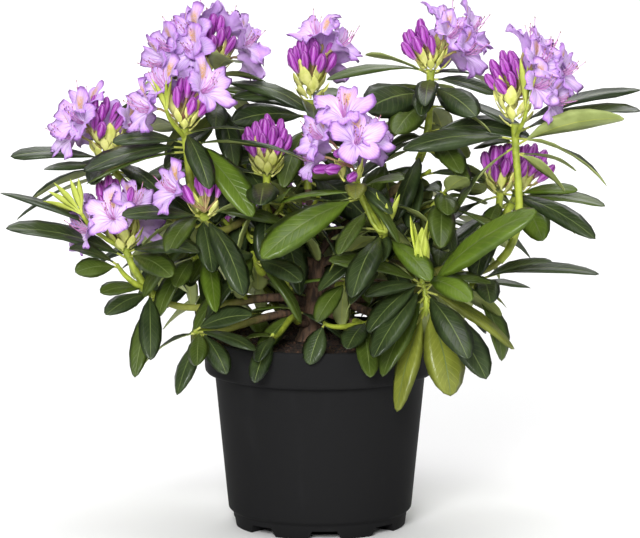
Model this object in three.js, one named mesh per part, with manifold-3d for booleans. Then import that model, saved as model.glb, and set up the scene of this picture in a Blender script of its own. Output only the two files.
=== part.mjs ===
// Potted rhododendron: a flowering shrub in a five litre nursery pot filled with peat.
// Millimetres, +Z up, the origin at the middle of the pot's underside, -Y towards the viewer.
import * as THREE from "three";
import { mergeVertices } from "three/addons/utils/BufferGeometryUtils.js";
import Module from "manifold-3d";

const wasm = await Module();
wasm.setup();

// Gap that pieces which touch keep, and the room a leaf or bloom keeps to the next mass.
const CLEAR = 0.3;
const ROOM = 0.7;

const POT = {
  height: 190,
  rimRadius: 115,
  rimDrop: 37,
  bodyTopRadius: 104.2,
  bodyFootRadius: 91,
  footStep: 19,
  footRadius: 85,
  wall: 3,
  floor: 6,
  sides: 36,
};
const NOTCH = { count: 8, width: 34, height: 9, inner: 44, turn: -87 };
const PEAT = { top: 182, crown: 183.4, flatRadius: 34 };

const TRUNK = {
  foot: new THREE.Vector3(-8, 2, PEAT.crown + CLEAR),
  lean: new THREE.Vector3(5, 4, 84),
  footRadius: 11.5,
  topRadius: 7,
  flare: 6,
  sides: 9,
  steps: 5,
};
const BOUGH = { footRadius: 4.6, tipRadius: 3.3, sides: 5, steps: 5 };
const TWIG = { footRadius: 4.2, tipRadius: 3.7, sides: 3, steps: 3 };

// A leaf: as narrow as its petiole at the root, widest past its middle; the blade starts at a share of it.
const LEAF = {
  petioleHalf: 1.1,
  bladeFrom: 0.2,
  widest: 0.54,
  widthShare: 0.32,
  fold: 0.1,
  keelShare: 0.016,
  edgeRoom: 5,
  bend: 34,
  roll: 56,
};
// A whorl's leaves hang more the lower they are, on their twig and in the crown.
const WHORL = {
  spacing: 3.4,
  most: 0.8,
  foot: 0.08,
  lengthLow: 0.78,
  lengthGain: 0.34,
  pitch: [-24, 18],
  hang: [-14, 8],
  hangHeights: [200, 450],
  jitter: 18,
};

// A flower's stalk leaves the rachis, its funnel nods out from the stalk, and buds keep apart from stalks.
const BLOOM = { count: 8, lobes: 5, polar: [8, 70], rachis: 14, stalk: 25, depth: 22, radius: 21, nod: 20 };
const BUD = { count: 6, polar: [3, 54], length: 38, radius: 5.6, belly: 0.7, sides: 3, apart: 0.94 };
const CUP = { radius: 12.5, height: 24, sides: 5 };
const GOLDEN_ANGLE = 137.5;

// How a leaf turns aside when its place is taken: turn and lift in degrees, share of its length.
const ASIDE = [
  [0, 0, 1],
  [0, 5, 1],
  [0, -5, 1],
  [6, 0, 1],
  [-6, 0, 1],
  [13, 7, 1],
  [-13, 7, 1],
  [9, -13, 1],
  [-9, -13, 1],
  [0, 16, 0.92],
  [22, -6, 0.92],
  [-22, -6, 0.92],
  [0, -22, 0.85],
  [30, 13, 0.8],
  [-30, 13, 0.8],
  [15, -30, 0.7],
  [-15, -30, 0.7],
];

// Masses of foliage. "fork" is where the bough ends and the stem goes on, with "base" leaves round it.
// Each twig ends at "tip" in a whorl of leaves, first turned by "turn" degrees from +X towards +Y.
// "reach" holds the tips of the leaves that draw the crown's outline, the lowest leaf first, and where it
// is seen the leaf's roll in degrees and how much broader it is.
// A truss is in bloom for the share "open" of its flowers, on the side "faces", and stands "rise" higher.
// "blooms" lists its flowers where they are seen: azimuth, angle from the upright, longer stalk, nod.
// "lean" gives the azimuth, the angle from the upright and the extra length of its buds.
const MASSES = [
  {
    name: "crown_left", from: "trunk", at: 0.97, fork: [-84, 12, 352], base: 4, turn: 250,
    twigs: [
      { tip: [-105, 15, 449], leaves: 7, turn: 150,
        truss: { open: 0.8, faces: 100, turn: 62, rise: 2, lean: [285, 12, 6], blooms: [
          [240, 58, 2], [210, 62, 14], [230, 34, 2], [50, 28], [350, 50, -2], [30, 72], [206, 78, 16],
          [130, 66], [120, 14, -2], [196, 40, 6],
        ] },
        reach: [[-50, 6, 424], [-178, -10, 432]] },
    ],
  },
  {
    name: "left_upper", from: "bough_crown_left", at: 0.55, fork: [-106, -45, 303], base: 6, turn: 200,
    twigs: [
      { tip: [-132, -56, 402], leaves: 4, turn: 60,
        truss: { open: 0.62, faces: 150, turn: 0, rise: 2, lean: [310, 10, 0], blooms: [
          [212, 26, 2], [316, 40, 6], [80, 50], [206, 62, 4],
        ] },
        reach: [[-226, -96, 352, -4], [-12, -112, 377, -4], [-62, -118, 340, 20], [-106, -122, 351, 4]] },
      { tip: [-112, -76, 318], leaves: 2, turn: 300,
        truss: { open: 0.2, faces: 200, turn: 40, rise: 4, lean: [270, 6, 0], blooms: [[205, 48]] } },
    ],
  },
  {
    name: "left_arm", from: "trunk", at: 0.86, fork: [-156, -2, 312], base: 4, turn: 320,
    twigs: [
      { tip: [-209, -10, 366], leaves: 5, turn: 60,
        truss: { open: 0.56, faces: 330, turn: 100, rise: 8, lean: [300, 14, 8], blooms: [
          [325, 52, 8], [215, 14, 4], [212, 62, 4], [230, 42, 4], [70, 60], [130, 58],
        ] },
        reach: [[-268, -62, 362, -12], [-303, -24, 370, -4]] },
    ],
  },
  {
    name: "left_low", from: "trunk", at: 0.4, fork: [-155, -50, 232], base: 0, turn: 300,
    reach: [[-179, -112, 166, -20], [-207, -104, 226, -20], [-174, -124, 198, -10], [-213, -86, 240, -16]],
    twigs: [
      { tip: [-190, -60, 286], leaves: 1, turn: 20,
        truss: { open: 0.62, faces: 270, turn: 250, lean: [120, 10, 22], blooms: [
          [252, 40, 4], [310, 24, 6], [200, 60, 2], [150, 60], [60, 60],
        ] },
        reach: [[-304, -88, 308, -10], [-142, -134, 268, 24], [-102, -112, 278, 30], [-316, -58, 328, -2]] },
      { tip: [-197, -78, 272], leaves: 0, turn: 120,
        reach: [[-224, -138, 278, -40], [-232, -122, 296, -34]] },
    ],
  },
  {
    name: "crown_mid", from: "trunk", at: 1, fork: [-12, 18, 332], base: 5, turn: 30,
    twigs: [
      { tip: [-9, 25, 420], leaves: 7, turn: 100,
        truss: { open: 0.42, faces: 60, turn: 40, rise: 14, lean: [262, 6, 0], blooms: [
          [40, 26, 6, -50], [350, 36, 8], [70, 58],
        ] },
        reach: [[-86, -34, 405, -26], [-94, 0, 416, -16]] },
    ],
  },
  {
    name: "crown_right", from: "trunk", at: 1, fork: [97, 2, 362], base: 8, turn: 250,
    twigs: [
      { tip: [109, 10, 452], leaves: 6, turn: 75,
        truss: { open: 0.6, faces: 10, turn: 215, lean: [205, 16, 0], blooms: [
          [316, 36, 4, 22], [350, 44, 10], [330, 62, 4], [350, 12, -4], [60, 60],
        ] },
        reach: [
          [72, -72, 398, -30, 1.25], [44, -62, 420, -30, 1.25], [152, -48, 412, 28, 1.3],
          [172, 6, 428, 16], [6, -50, 448, -10],
        ] },
    ],
  },
  {
    name: "centre", from: "bough_crown_right", at: 0.45, fork: [66, -70, 290], base: 6, turn: 200,
    twigs: [
      { tip: [34, -86, 355], leaves: 4, turn: 40,
        truss: { open: 0.92, faces: 280, turn: 280, rise: 10, lean: [236, 88, 0], blooms: [
          [250, 14, 10], [280, 44, 4], [208, 44, 6], [196, 68, 4], [328, 38, 2], [150, 56], [90, 36],
          [40, 60],
        ] },
        reach: [[-56, -144, 287, -26], [80, -134, 362, 24], [82, -122, 342, 20]] },
    ],
  },
  {
    name: "centre_left", from: "bough_crown_mid", at: 0.5, fork: [-50, -26, 314], base: 5, turn: 300,
    twigs: [{ tip: [-52, -31, 354], leaves: 6, turn: 215, truss: { open: 0, faces: 0, turn: 0, rise: 6 } }],
  },
  {
    name: "right_arm", from: "trunk", at: 0.88, fork: [176, -22, 266], base: 0, turn: 0,
    twigs: [
      { tip: [191, -30, 403], leaves: 4, turn: 60,
        truss: { open: 0.56, faces: 5, turn: 200, rise: 22, lean: [205, 22, 0], blooms: [
          [316, 36, 6], [340, 56, 14], [20, 8, 10, 18], [330, 80, 4], [70, 58], [354, 28, 8], [306, 60, 2],
        ] },
        reach: [
          [239, -46, 338, 28], [294, -80, 414, -52], [80, -66, 382, -18], [313, -36, 416, 8],
          [316, 10, 432, 2],
        ] },
    ],
  },
  {
    name: "right_low", from: "bough_right_arm", at: 0.62, fork: [168, 18, 284], base: 4, turn: 120,
    twigs: [
      { tip: [178, 8, 331], leaves: 3, turn: 215, truss: { open: 0, faces: 0, turn: 30 },
        reach: [[268, -62, 294, 24]] },
      { tip: [196, 36, 328], leaves: 3, turn: 60, truss: { open: 0, faces: 0, turn: 0 },
        reach: [[282, 10, 316, 22], [254, 34, 284, 14]] },
    ],
  },
  {
    name: "right_front", from: "trunk", at: 0.42, fork: [101, -85, 224], base: 4, turn: 20,
    reach: [
      [74, -132, 136, 6], [126, -124, 150, 0, 1.5], [160, -132, 168, 14], [60, -142, 172, -12],
      [190, -66, 186, 20],
      [164, -112, 264, 24], [46, -134, 214, -16],
    ],
    twigs: [
      { tip: [99, -86, 261], leaves: 3, turn: 100,
        reach: [[208, -132, 331, 40], [8, -132, 283, -30], [146, -142, 252, 22]] },
    ],
  },
  {
    name: "low_left", from: "trunk", at: 0.24, fork: [-108, -78, 206], base: 0, turn: 0, size: 72,
    twigs: [
      { tip: [-122, -88, 208], leaves: 2, turn: 160,
        reach: [[-138, -118, 150, -8], [-90, -128, 172, 6], [-118, -140, 178, 0], [-62, -132, 196, 14]] },
    ],
  },
  {
    name: "low_centre", from: "trunk", at: 0.16, fork: [-22, -20, 206], base: 0, turn: 0, size: 58,
    twigs: [
      { tip: [-24, -34, 222], leaves: 6, turn: 175 },
      { tip: [-46, -88, 204], leaves: 4, turn: 200, reach: [[-62, -128, 160, -4]] },
    ],
  },
  {
    name: "low_right", from: "trunk", at: 0.28, fork: [34, -56, 211], base: 0, turn: 0, size: 66,
    twigs: [
      { tip: [46, -72, 214], leaves: 5, turn: 310, reach: [[48, -128, 164, 4], [-8, -116, 176, -8]] },
    ],
  },
  {
    name: "inner_left", from: "trunk", at: 0.6, fork: [-56, -44, 258], base: 0, turn: 0, size: 92,
    twigs: [
      { tip: [-66, -66, 282], leaves: 8, turn: 280, reach: [[-18, -128, 262, 18], [-84, -134, 254, -6]] },
    ],
  },
  {
    name: "inner_right", from: "trunk", at: 0.62, fork: [18, -48, 246], base: 0, turn: 0, size: 84,
    twigs: [{ tip: [28, -78, 258], leaves: 8, turn: 240 }],
  },
  {
    name: "mid_right", from: "bough_crown_right", at: 0.72, fork: [112, -26, 318], base: 0, turn: 0, size: 92,
    twigs: [{ tip: [122, -46, 338], leaves: 7, turn: 215 }],
  },
  {
    name: "right_under", from: "trunk", at: 0.6, fork: [136, -30, 240], base: 0, turn: 240,
    twigs: [
      { tip: [160, -46, 254], leaves: 3, turn: 330,
        reach: [[208, -14, 238, 20], [226, -66, 272, 26], [274, -34, 255, 12]] },
    ],
  },
  {
    name: "back_left", from: "trunk", at: 0.72, fork: [-98, 74, 276], base: 5, turn: 80,
    twigs: [
      { tip: [-138, 108, 312], leaves: 7, turn: 20 },
      { tip: [-96, 156, 258], leaves: 6, turn: 70, truss: { open: 0.75, faces: 110, turn: 20 } },
    ],
  },
  {
    name: "back_mid", from: "trunk", at: 0.8, fork: [-6, 84, 284], base: 5, turn: 140,
    twigs: [
      { tip: [38, 108, 334], leaves: 7, turn: 300 },
      { tip: [-14, 172, 272], leaves: 6, turn: 40, truss: { open: 0.85, faces: 95, turn: 120 } },
    ],
  },
  {
    name: "back_right", from: "trunk", at: 0.68, fork: [86, 78, 268], base: 5, turn: 10,
    twigs: [
      { tip: [134, 112, 304], leaves: 7, turn: 350 },
      { tip: [72, 166, 254], leaves: 6, turn: 90, truss: { open: 0.6, faces: 70, turn: 200 } },
    ],
  },
  {
    name: "left_back", from: "trunk", at: 0.54, fork: [-112, 58, 238], base: 2, turn: 60, size: 80,
    twigs: [{ tip: [-156, 84, 272], leaves: 7, turn: 60 }],
  },
  {
    name: "right_back", from: "trunk", at: 0.5, fork: [104, 66, 232], base: 2, turn: 100, size: 80,
    twigs: [{ tip: [132, 98, 256], leaves: 7, turn: 100 }],
  },
  {
    name: "back_low_left", from: "trunk", at: 0.3, fork: [-86, 84, 216], base: 0, turn: 0, size: 78,
    twigs: [{ tip: [-114, 118, 226], leaves: 9, turn: 120 }],
  },
  {
    name: "back_low_mid", from: "trunk", at: 0.44, fork: [2, 104, 240], base: 0, turn: 0, size: 84,
    twigs: [{ tip: [6, 152, 256], leaves: 8, turn: 60 }],
  },
  {
    name: "back_low_right", from: "trunk", at: 0.32, fork: [84, 86, 216], base: 0, turn: 0, size: 78,
    twigs: [{ tip: [108, 116, 228], leaves: 9, turn: 10 }],
  },
];
const LEAF_LENGTH = 104;

const BLACK_PLASTIC = { color: 0x1c1c1d, roughness: 0.45, metalness: 0 };
const DARK_PEAT = { color: 0x2b1812, roughness: 0.95, metalness: 0 };
const BROWN_BARK = { color: 0x4a3526, roughness: 0.85, metalness: 0 };
const GREEN_LEAF = { color: 0x3f5a2a, roughness: 0.5, metalness: 0 };

const UP = new THREE.Vector3(0, 0, 1);
const { degToRad, lerp } = THREE.MathUtils;
const vector = (xyz) => new THREE.Vector3(...xyz);

/** Repeatable noise from 0 to 1 for a whole-number key and channel. */
function noise(key, channel) {
  let h = Math.imul(key + 1, 0x9e3779b1) ^ Math.imul(channel + 1, 0x85ebca6b);
  h = Math.imul(h ^ (h >>> 15), 0x2c1b3c6d);
  h = Math.imul(h ^ (h >>> 12), 0x297a2d39);
  return ((h ^ (h >>> 15)) >>> 0) / 2 ** 32;
}

/** A solid from a three.js geometry, its shared vertices merged. */
function solidOf(geometry) {
  const bare = geometry.clone();
  bare.deleteAttribute("normal");
  bare.deleteAttribute("uv");
  const merged = mergeVertices(bare, 1e-3);
  return new wasm.Manifold(
    new wasm.Mesh({
      numProp: 3,
      vertProperties: new Float32Array(merged.attributes.position.array),
      triVerts: new Uint32Array(merged.index.array),
    }),
  );
}

/** A three.js geometry from a solid. */
function geometryOf(solid) {
  const { numProp, vertProperties, triVerts } = solid.getMesh();
  const points = new Float32Array((vertProperties.length / numProp) * 3);
  for (let i = 0; i < points.length / 3; i++) {
    points.set(vertProperties.subarray(i * numProp, i * numProp + 3), i * 3);
  }
  const geometry = new THREE.BufferGeometry();
  geometry.setAttribute("position", new THREE.BufferAttribute(points, 3));
  geometry.setIndex(new THREE.BufferAttribute(triVerts, 1));
  geometry.computeVertexNormals();
  return geometry;
}

/** Closed geometry through rings of points, each anticlockwise about the way it runs; one point is a tip. */
function loft(rings) {
  const points = rings.flat();
  const starts = rings.map((ring, i) => rings.slice(0, i).flat().length);
  const faces = [];
  for (let i = 0; i + 1 < rings.length; i++) {
    const [a, b] = [rings[i].length, rings[i + 1].length];
    for (let k = 0; k < Math.max(a, b); k++) {
      const [p, q] = [starts[i] + (k % a), starts[i] + ((k + 1) % a)];
      const [r, s] = [starts[i + 1] + (k % b), starts[i + 1] + ((k + 1) % b)];
      if (a > 1) faces.push(p, q, s);
      if (b > 1) faces.push(p, s, r);
    }
  }
  const last = rings.length - 1;
  for (let k = 1; k + 1 < rings[0].length; k++) faces.push(0, k + 1, k);
  for (let k = 1; k + 1 < rings[last].length; k++) {
    faces.push(starts[last], starts[last] + k, starts[last] + k + 1);
  }
  const geometry = new THREE.BufferGeometry().setFromPoints(points);
  geometry.setIndex(faces);
  return geometry;
}

/** A ring of points round a centre, in the plane of two unit vectors. */
function ring(centre, across, over, radius, sides) {
  return Array.from({ length: sides }, (_, k) => {
    const turn = (2 * Math.PI * k) / sides;
    return centre
      .clone()
      .addScaledVector(across, radius * Math.cos(turn))
      .addScaledVector(over, radius * Math.sin(turn));
  });
}

/** Two unit vectors square to an axis: the first nearest +X, the second a quarter turn on. */
function frameRound(axis) {
  const across = new THREE.Vector3(1, 0, 0).addScaledVector(axis, -axis.x).normalize();
  return [across, axis.clone().cross(across)];
}

/** A tapering limb along a curve, fatter and longer by room; its radius goes by the share of its length. */
function limbSolid({ curve, radiusAt, sides, steps }, room = 0) {
  const frames = curve.computeFrenetFrames(steps);
  const rings = frames.normals.map((normal, i) => {
    const past = i === 0 ? -room : i === steps ? room : 0;
    const centre = curve.getPointAt(i / steps).addScaledVector(frames.tangents[i], past);
    return ring(centre, normal, frames.binormals[i], radiusAt(i / steps) + room, sides);
  });
  return solidOf(loft(rings));
}

/** A curve that leaves one point on one heading and arrives at another on a second heading. */
function growth(from, heading, to, arrival) {
  const third = from.distanceTo(to) / 3;
  return new THREE.CubicBezierCurve3(
    from,
    from.clone().addScaledVector(heading, third),
    to.clone().addScaledVector(arrival, -third),
    to,
  );
}

/** A leaf's midline and its cross directions at a share of its length. */
function leafFrame(leaf, share) {
  const pitch = leaf.pitch - leaf.bend * share;
  const out = new THREE.Vector3(Math.cos(leaf.azimuth), Math.sin(leaf.azimuth), 0);
  const along = (leaf.length / leaf.bend) * (Math.sin(leaf.pitch) - Math.sin(pitch));
  const rise = (leaf.length / leaf.bend) * (Math.cos(pitch) - Math.cos(leaf.pitch));
  const point = leaf.root.clone().addScaledVector(out, along).addScaledVector(UP, rise);
  const flatSide = new THREE.Vector3(-out.y, out.x, 0);
  const flatNormal = out.clone().multiplyScalar(-Math.sin(pitch)).addScaledVector(UP, Math.cos(pitch));
  const [c, s] = [Math.cos(leaf.roll), Math.sin(leaf.roll)];
  return {
    point,
    side: flatSide.clone().multiplyScalar(c).addScaledVector(flatNormal, s),
    normal: flatNormal.clone().multiplyScalar(c).addScaledVector(flatSide, -s),
  };
}

/** A leaf: a thin blade with a keel along its midrib, from its root or from a later share of its length. */
function leafSolid(leaf, room = 0, from = 0) {
  const keel = leaf.length * LEAF.keelShare + room;
  const section = (share) => {
    const { point, side, normal } = leafFrame(leaf, share);
    const half = lerp(LEAF.petioleHalf, leaf.width / 2, share / LEAF.widest);
    const lift = LEAF.fold * half + room + 0.4;
    const edge = half + LEAF.edgeRoom * room;
    return [
      point.clone().addScaledVector(side, edge).addScaledVector(normal, lift),
      point.clone().addScaledVector(side, -edge).addScaledVector(normal, lift),
      point.clone().addScaledVector(normal, -keel),
    ];
  };
  return solidOf(loft([section(from), section(LEAF.widest), [leafFrame(leaf, 1).point]]));
}

/** The leaf from a root that reaches a tip, arched by LEAF.bend; its roll is drawn if it isn't given. */
function leafTo(root, [x, y, z, roll, broad = 1], key) {
  const way = new THREE.Vector3(x, y, z).sub(root);
  const bend = degToRad(LEAF.bend);
  const chord = way.length();
  const length = (chord * (bend / 2)) / Math.sin(bend / 2);
  return {
    root,
    azimuth: Math.atan2(way.y, way.x),
    pitch: Math.asin(way.z / chord) + bend / 2,
    bend,
    roll: degToRad(roll ?? LEAF.roll * (noise(key, 3) - 0.5)),
    length,
    width: length * LEAF.widthShare * lerp(0.9, 1.15, noise(key, 4)) * broad,
  };
}

/** One leaf of a whorl by the growth rule: rank runs from 0, the lowest, to 1. */
function whorlLeaf(root, rank, azimuth, size, key) {
  const length = size * (WHORL.lengthLow + WHORL.lengthGain * noise(key, 0));
  const hang = lerp(...WHORL.hang, THREE.MathUtils.inverseLerp(...WHORL.hangHeights, root.z));
  return {
    root,
    azimuth,
    pitch: degToRad(lerp(...WHORL.pitch, rank) + hang + WHORL.jitter * (noise(key, 1) - 0.5)),
    bend: degToRad(LEAF.bend * lerp(0.7, 1.6, noise(key, 2))),
    roll: degToRad(LEAF.roll * (noise(key, 3) - 0.5)),
    length,
    width: length * LEAF.widthShare * lerp(0.9, 1.15, noise(key, 4)),
  };
}

/** A leaf turned aside by one entry of ASIDE. */
function turnedAside(leaf, [turn, lift, share]) {
  return {
    ...leaf,
    azimuth: leaf.azimuth + degToRad(turn),
    pitch: leaf.pitch + degToRad(lift),
    length: leaf.length * share,
    width: leaf.width * share,
  };
}

/** An open bloom: a funnel with five lobes on a stalk from root to seat. */
function bloomSolid(root, seat, axis, size, room = 0) {
  const [across, over] = frameRound(axis);
  const lip = seat.clone().addScaledVector(axis, BLOOM.depth * size);
  const throat = seat.clone().add(lip).multiplyScalar(0.5).addScaledVector(axis, room);
  return solidOf(loft([[root], ring(lip, across, over, BLOOM.radius * size + room, BLOOM.lobes), [throat]]));
}

/** A closed flower bud, its root at a point. */
function budSolid(root, axis, length, room = 0) {
  const [across, over] = frameRound(axis);
  const belly = root.clone().addScaledVector(axis, length * BUD.belly);
  const tip = root.clone().addScaledVector(axis, length + room);
  return solidOf(loft([[root], ring(belly, across, over, BUD.radius + room, BUD.sides), [tip]]));
}

/** The pale scales under a truss, as one cup round its rachis. */
function cupSolid(tip, axis, radius, height, room = 0) {
  const [across, over] = frameRound(axis);
  const foot = tip.clone().addScaledVector(axis, -3);
  const top = tip.clone().addScaledVector(axis, height);
  const footRing = ring(foot, across, over, TWIG.tipRadius + room, CUP.sides);
  return solidOf(loft([footRing, ring(top, across, over, radius + room, CUP.sides)]));
}

/** Places taken in the crown, by owner; a blade is the part of a leaf that others of its mass avoid. */
const taken = [];

function boundsOf(solid) {
  const { min, max } = solid.boundingBox();
  return new THREE.Box3(vector(min), vector(max));
}

function meet(one, other) {
  return boundsOf(one).intersectsBox(boundsOf(other)) && !one.intersect(other).isEmpty();
}

function claim(owner, solid, blade = null) {
  taken.push({ owner, solid, blade });
  return solid;
}

/** True if a solid meets nothing of another owner, and its blade no blade of its own mass. */
function isFree(owner, solid, blade) {
  return taken.every((other) =>
    other.owner === owner ? !(blade && other.blade && meet(other.blade, blade)) : !meet(other.solid, solid),
  );
}

/** Joins solids and keeps the largest piece, so that no scrap is left loose. */
function fuse(solids) {
  const joined = solids.reduce((whole, next) => whole.add(next));
  return joined.decompose().reduce((best, part) => (part.volume() > best.volume() ? part : best));
}

/** The pot: a thin tapering shell with a deep rim and drain channels under its floor. */
function makePot() {
  const underRim = POT.height - POT.rimDrop;
  const outline = [
    [0, 0],
    [POT.footRadius, 0],
    [POT.footRadius + 1, 8],
    [POT.bodyFootRadius - 2, POT.footStep - 3],
    [POT.bodyFootRadius, POT.footStep],
    [POT.bodyTopRadius, underRim],
    [POT.rimRadius - 3.5, underRim],
    [POT.rimRadius - 1, underRim + 4],
    [POT.rimRadius, POT.height - 2],
    [POT.rimRadius - 1, POT.height],
    [POT.rimRadius - POT.wall, POT.height],
    [POT.rimRadius - POT.wall - 1, underRim + POT.wall],
    [POT.bodyTopRadius - POT.wall, underRim],
    [POT.bodyFootRadius - POT.wall, POT.footStep],
    [POT.footRadius - POT.wall, POT.floor + NOTCH.height],
    [0, POT.floor + NOTCH.height],
  ];
  const shell = new THREE.LatheGeometry(outline.map(([r, z]) => new THREE.Vector2(r, z)), POT.sides);
  shell.rotateX(Math.PI / 2);
  let pot = solidOf(shell);
  for (let i = 0; i < NOTCH.count; i++) {
    const length = POT.footRadius + 10 - NOTCH.inner;
    const channel = new THREE.CylinderGeometry(
      NOTCH.width * Math.SQRT1_2 * 0.72, NOTCH.width * Math.SQRT1_2, NOTCH.height + 1, 4,
    );
    channel.rotateY(Math.PI / 4);
    channel.rotateX(Math.PI / 2);
    channel.scale(length / NOTCH.width, 1, 1);
    channel.translate(NOTCH.inner + length / 2, 0, (NOTCH.height - 1) / 2);
    channel.rotateZ(degToRad(NOTCH.turn + (360 * i) / NOTCH.count));
    pot = pot.subtract(solidOf(channel));
  }
  return pot;
}

/** The peat that fills the pot, a little lower than its rim. */
function makePeat() {
  const underRim = POT.height - POT.rimDrop;
  const inset = POT.wall + CLEAR;
  const outline = [
    [0, POT.floor + NOTCH.height + CLEAR],
    [POT.footRadius - inset, POT.floor + NOTCH.height + CLEAR],
    [POT.bodyFootRadius - inset, POT.footStep + CLEAR],
    [POT.bodyTopRadius - inset, underRim + CLEAR],
    [POT.rimRadius - inset - 1, underRim + POT.wall + CLEAR],
    [POT.rimRadius - inset - 0.6, PEAT.top],
    [PEAT.flatRadius, PEAT.crown],
    [0, PEAT.crown],
  ];
  const fill = new THREE.LatheGeometry(outline.map(([r, z]) => new THREE.Vector2(r, z)), POT.sides);
  fill.rotateX(Math.PI / 2);
  return solidOf(fill);
}

const trunkCurve = new THREE.CubicBezierCurve3(
  TRUNK.foot,
  TRUNK.foot.clone().addScaledVector(UP, TRUNK.lean.z / 3),
  TRUNK.foot.clone().add(TRUNK.lean).addScaledVector(UP, -TRUNK.lean.z / 3),
  TRUNK.foot.clone().add(TRUNK.lean),
);
const trunkRadius = (share) =>
  lerp(TRUNK.footRadius, TRUNK.topRadius, share) + TRUNK.flare * Math.max(0, 1 - 4 * share) ** 2;
const boughRadius = (share) => lerp(BOUGH.footRadius, BOUGH.tipRadius, share);
const twigRadius = (share) => lerp(TWIG.footRadius, TWIG.tipRadius, share);

/** Each limb's curve and radius by name; a bough grows out of one of them. */
const limbs = new Map([
  ["trunk", { curve: trunkCurve, radiusAt: trunkRadius, sides: TRUNK.sides, steps: TRUNK.steps }],
]);

/** Lays out a mass's bough from its parent to the fork, half turned there to the first twig's direction. */
function layBough(mass) {
  const parent = limbs.get(mass.from);
  const from = parent.curve.getPoint(mass.at);
  const fork = vector(mass.fork);
  const first = vector(mass.twigs[0].tip);
  const heading = first.clone().sub(fork).normalize().add(fork.clone().sub(from).normalize()).normalize();
  const leaving = fork.clone().sub(from).normalize().lerp(parent.curve.getTangent(mass.at), 0.35).normalize();
  mass.heading = heading;
  limbs.set("bough_" + mass.name, {
    curve: growth(from, leaving, fork, heading),
    radiusAt: boughRadius,
    sides: BOUGH.sides,
    steps: BOUGH.steps,
  });
}

/** Lays out a mass's twigs: the first goes on from the bough, the others leave it just above the fork. */
function layTwigs(mass) {
  const start = vector(mass.fork).addScaledVector(mass.heading, CLEAR);
  mass.curves = [];
  for (const twig of mass.twigs) {
    const from = mass.curves.length === 0 ? start : mass.curves[0].getPoint(0.16);
    const tip = vector(twig.tip);
    twig.axis = tip.clone().sub(from).normalize().addScaledVector(UP, 0.7).normalize();
    mass.curves.push(growth(from, mass.heading, tip, twig.axis));
  }
}

/** The unit vector at an azimuth round an axis and at an angle from it, both in degrees. */
function directionRound(axis, azimuth, polar) {
  const [across, over] = frameRound(axis);
  const out = Math.sin(degToRad(polar));
  return axis
    .clone()
    .multiplyScalar(Math.cos(degToRad(polar)))
    .addScaledVector(across, out * Math.cos(degToRad(azimuth)))
    .addScaledVector(over, out * Math.sin(degToRad(azimuth)));
}

/** The open flowers of a truss: those that are listed, or those by the golden angle on its open side. */
function bloomsOf({ open, faces, turn, blooms }) {
  if (blooms) return blooms;
  const all = Array.from({ length: BLOOM.count }, (_, k) => [
    turn + GOLDEN_ANGLE * k,
    lerp(...BLOOM.polar, ((k + 0.5) / BLOOM.count) ** 0.8),
  ]);
  return all.filter(([azimuth]) => Math.cos(degToRad(azimuth - faces)) > 1 - 2 * open);
}

/** The blooms and buds of a truss as functions of the room they take. */
function trussPieces(twig, key) {
  const { open, turn, rise = 0, blooms, lean = [0, 0, 0] } = twig.truss;
  const tip = vector(twig.tip);
  const upright = blooms ? UP : twig.axis;
  const rootAt = (polar) => tip.clone().addScaledVector(twig.axis, rise + BLOOM.rachis * (1 - polar / 92));
  const cupRadius = CUP.radius * lerp(1, 0.6, open);
  const pieces = [(room) => cupSolid(tip, twig.axis, cupRadius, CUP.height + rise, room)];
  const stalks = [];
  bloomsOf(twig.truss).forEach(([azimuth, polar, stretch = 0, nod = BLOOM.nod], k) => {
    const size = lerp(0.9, 1.1, noise(key + k, 5));
    const stalk = directionRound(upright, azimuth, polar);
    const axis = directionRound(upright, azimuth, polar + nod);
    const root = rootAt(polar);
    const seat = root.clone().addScaledVector(stalk, BLOOM.stalk * size + stretch);
    stalks.push(stalk);
    pieces.push((room) => bloomSolid(root, seat, axis, size, room));
  });
  const budAxis = directionRound(upright, lean[0], lean[1]);
  for (let k = 0; k < BUD.count; k++) {
    const polar = lerp(...BUD.polar, ((k + 0.5) / BUD.count) ** 0.6);
    const axis = directionRound(budAxis, turn + GOLDEN_ANGLE * k, polar);
    const length = BUD.length * lerp(0.9, 1.1, noise(key + 30 + k, 5)) + lean[2];
    if (stalks.every((stalk) => stalk.dot(axis) < BUD.apart)) {
      pieces.push((room) => budSolid(rootAt(polar), axis, length, room));
    }
  }
  return pieces;
}

/** Adds a bloom, a bud or a cup to a mass if its place is free. */
function settleBloom(mass, make) {
  if (!isFree(mass.name, make(ROOM), null)) return;
  const solid = make(0);
  mass.solids.push(claim(mass.name, solid, solid));
}

/** Adds a leaf to a mass, turned aside where its place is taken, or skips it. */
function settleLeaf(mass, leaf) {
  for (const aside of ASIDE) {
    const turned = turnedAside(leaf, aside);
    const blade = leafSolid(turned, ROOM, LEAF.bladeFrom);
    if (isFree(mass.name, leafSolid(turned, ROOM), blade)) {
      mass.solids.push(claim(mass.name, leafSolid(turned), blade));
      return;
    }
  }
}

/** Where the leaves of a whorl root by rank: below a twig's tip, or above its foot. */
function whorlPlaces(curve, count, atFoot) {
  const spread = Math.min(WHORL.most, (WHORL.spacing * count) / curve.getLength());
  const low = atFoot ? WHORL.foot : 0.98 - spread;
  return (rank) => curve.getPoint(low + spread * rank);
}

/** Grows a mass's stems. */
function growStems(mass, index) {
  mass.key = 1000 * index;
  mass.solids = mass.curves.map((curve) =>
    claim(mass.name, limbSolid({ curve, radiusAt: twigRadius, sides: TWIG.sides, steps: TWIG.steps })),
  );
}

/** Grows the trusses at the tips of a mass's twigs. */
function growTrusses(mass) {
  mass.twigs.forEach((twig, t) => {
    if (twig.truss) trussPieces(twig, mass.key + 100 * t + 60).forEach((make) => settleBloom(mass, make));
  });
}

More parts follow.
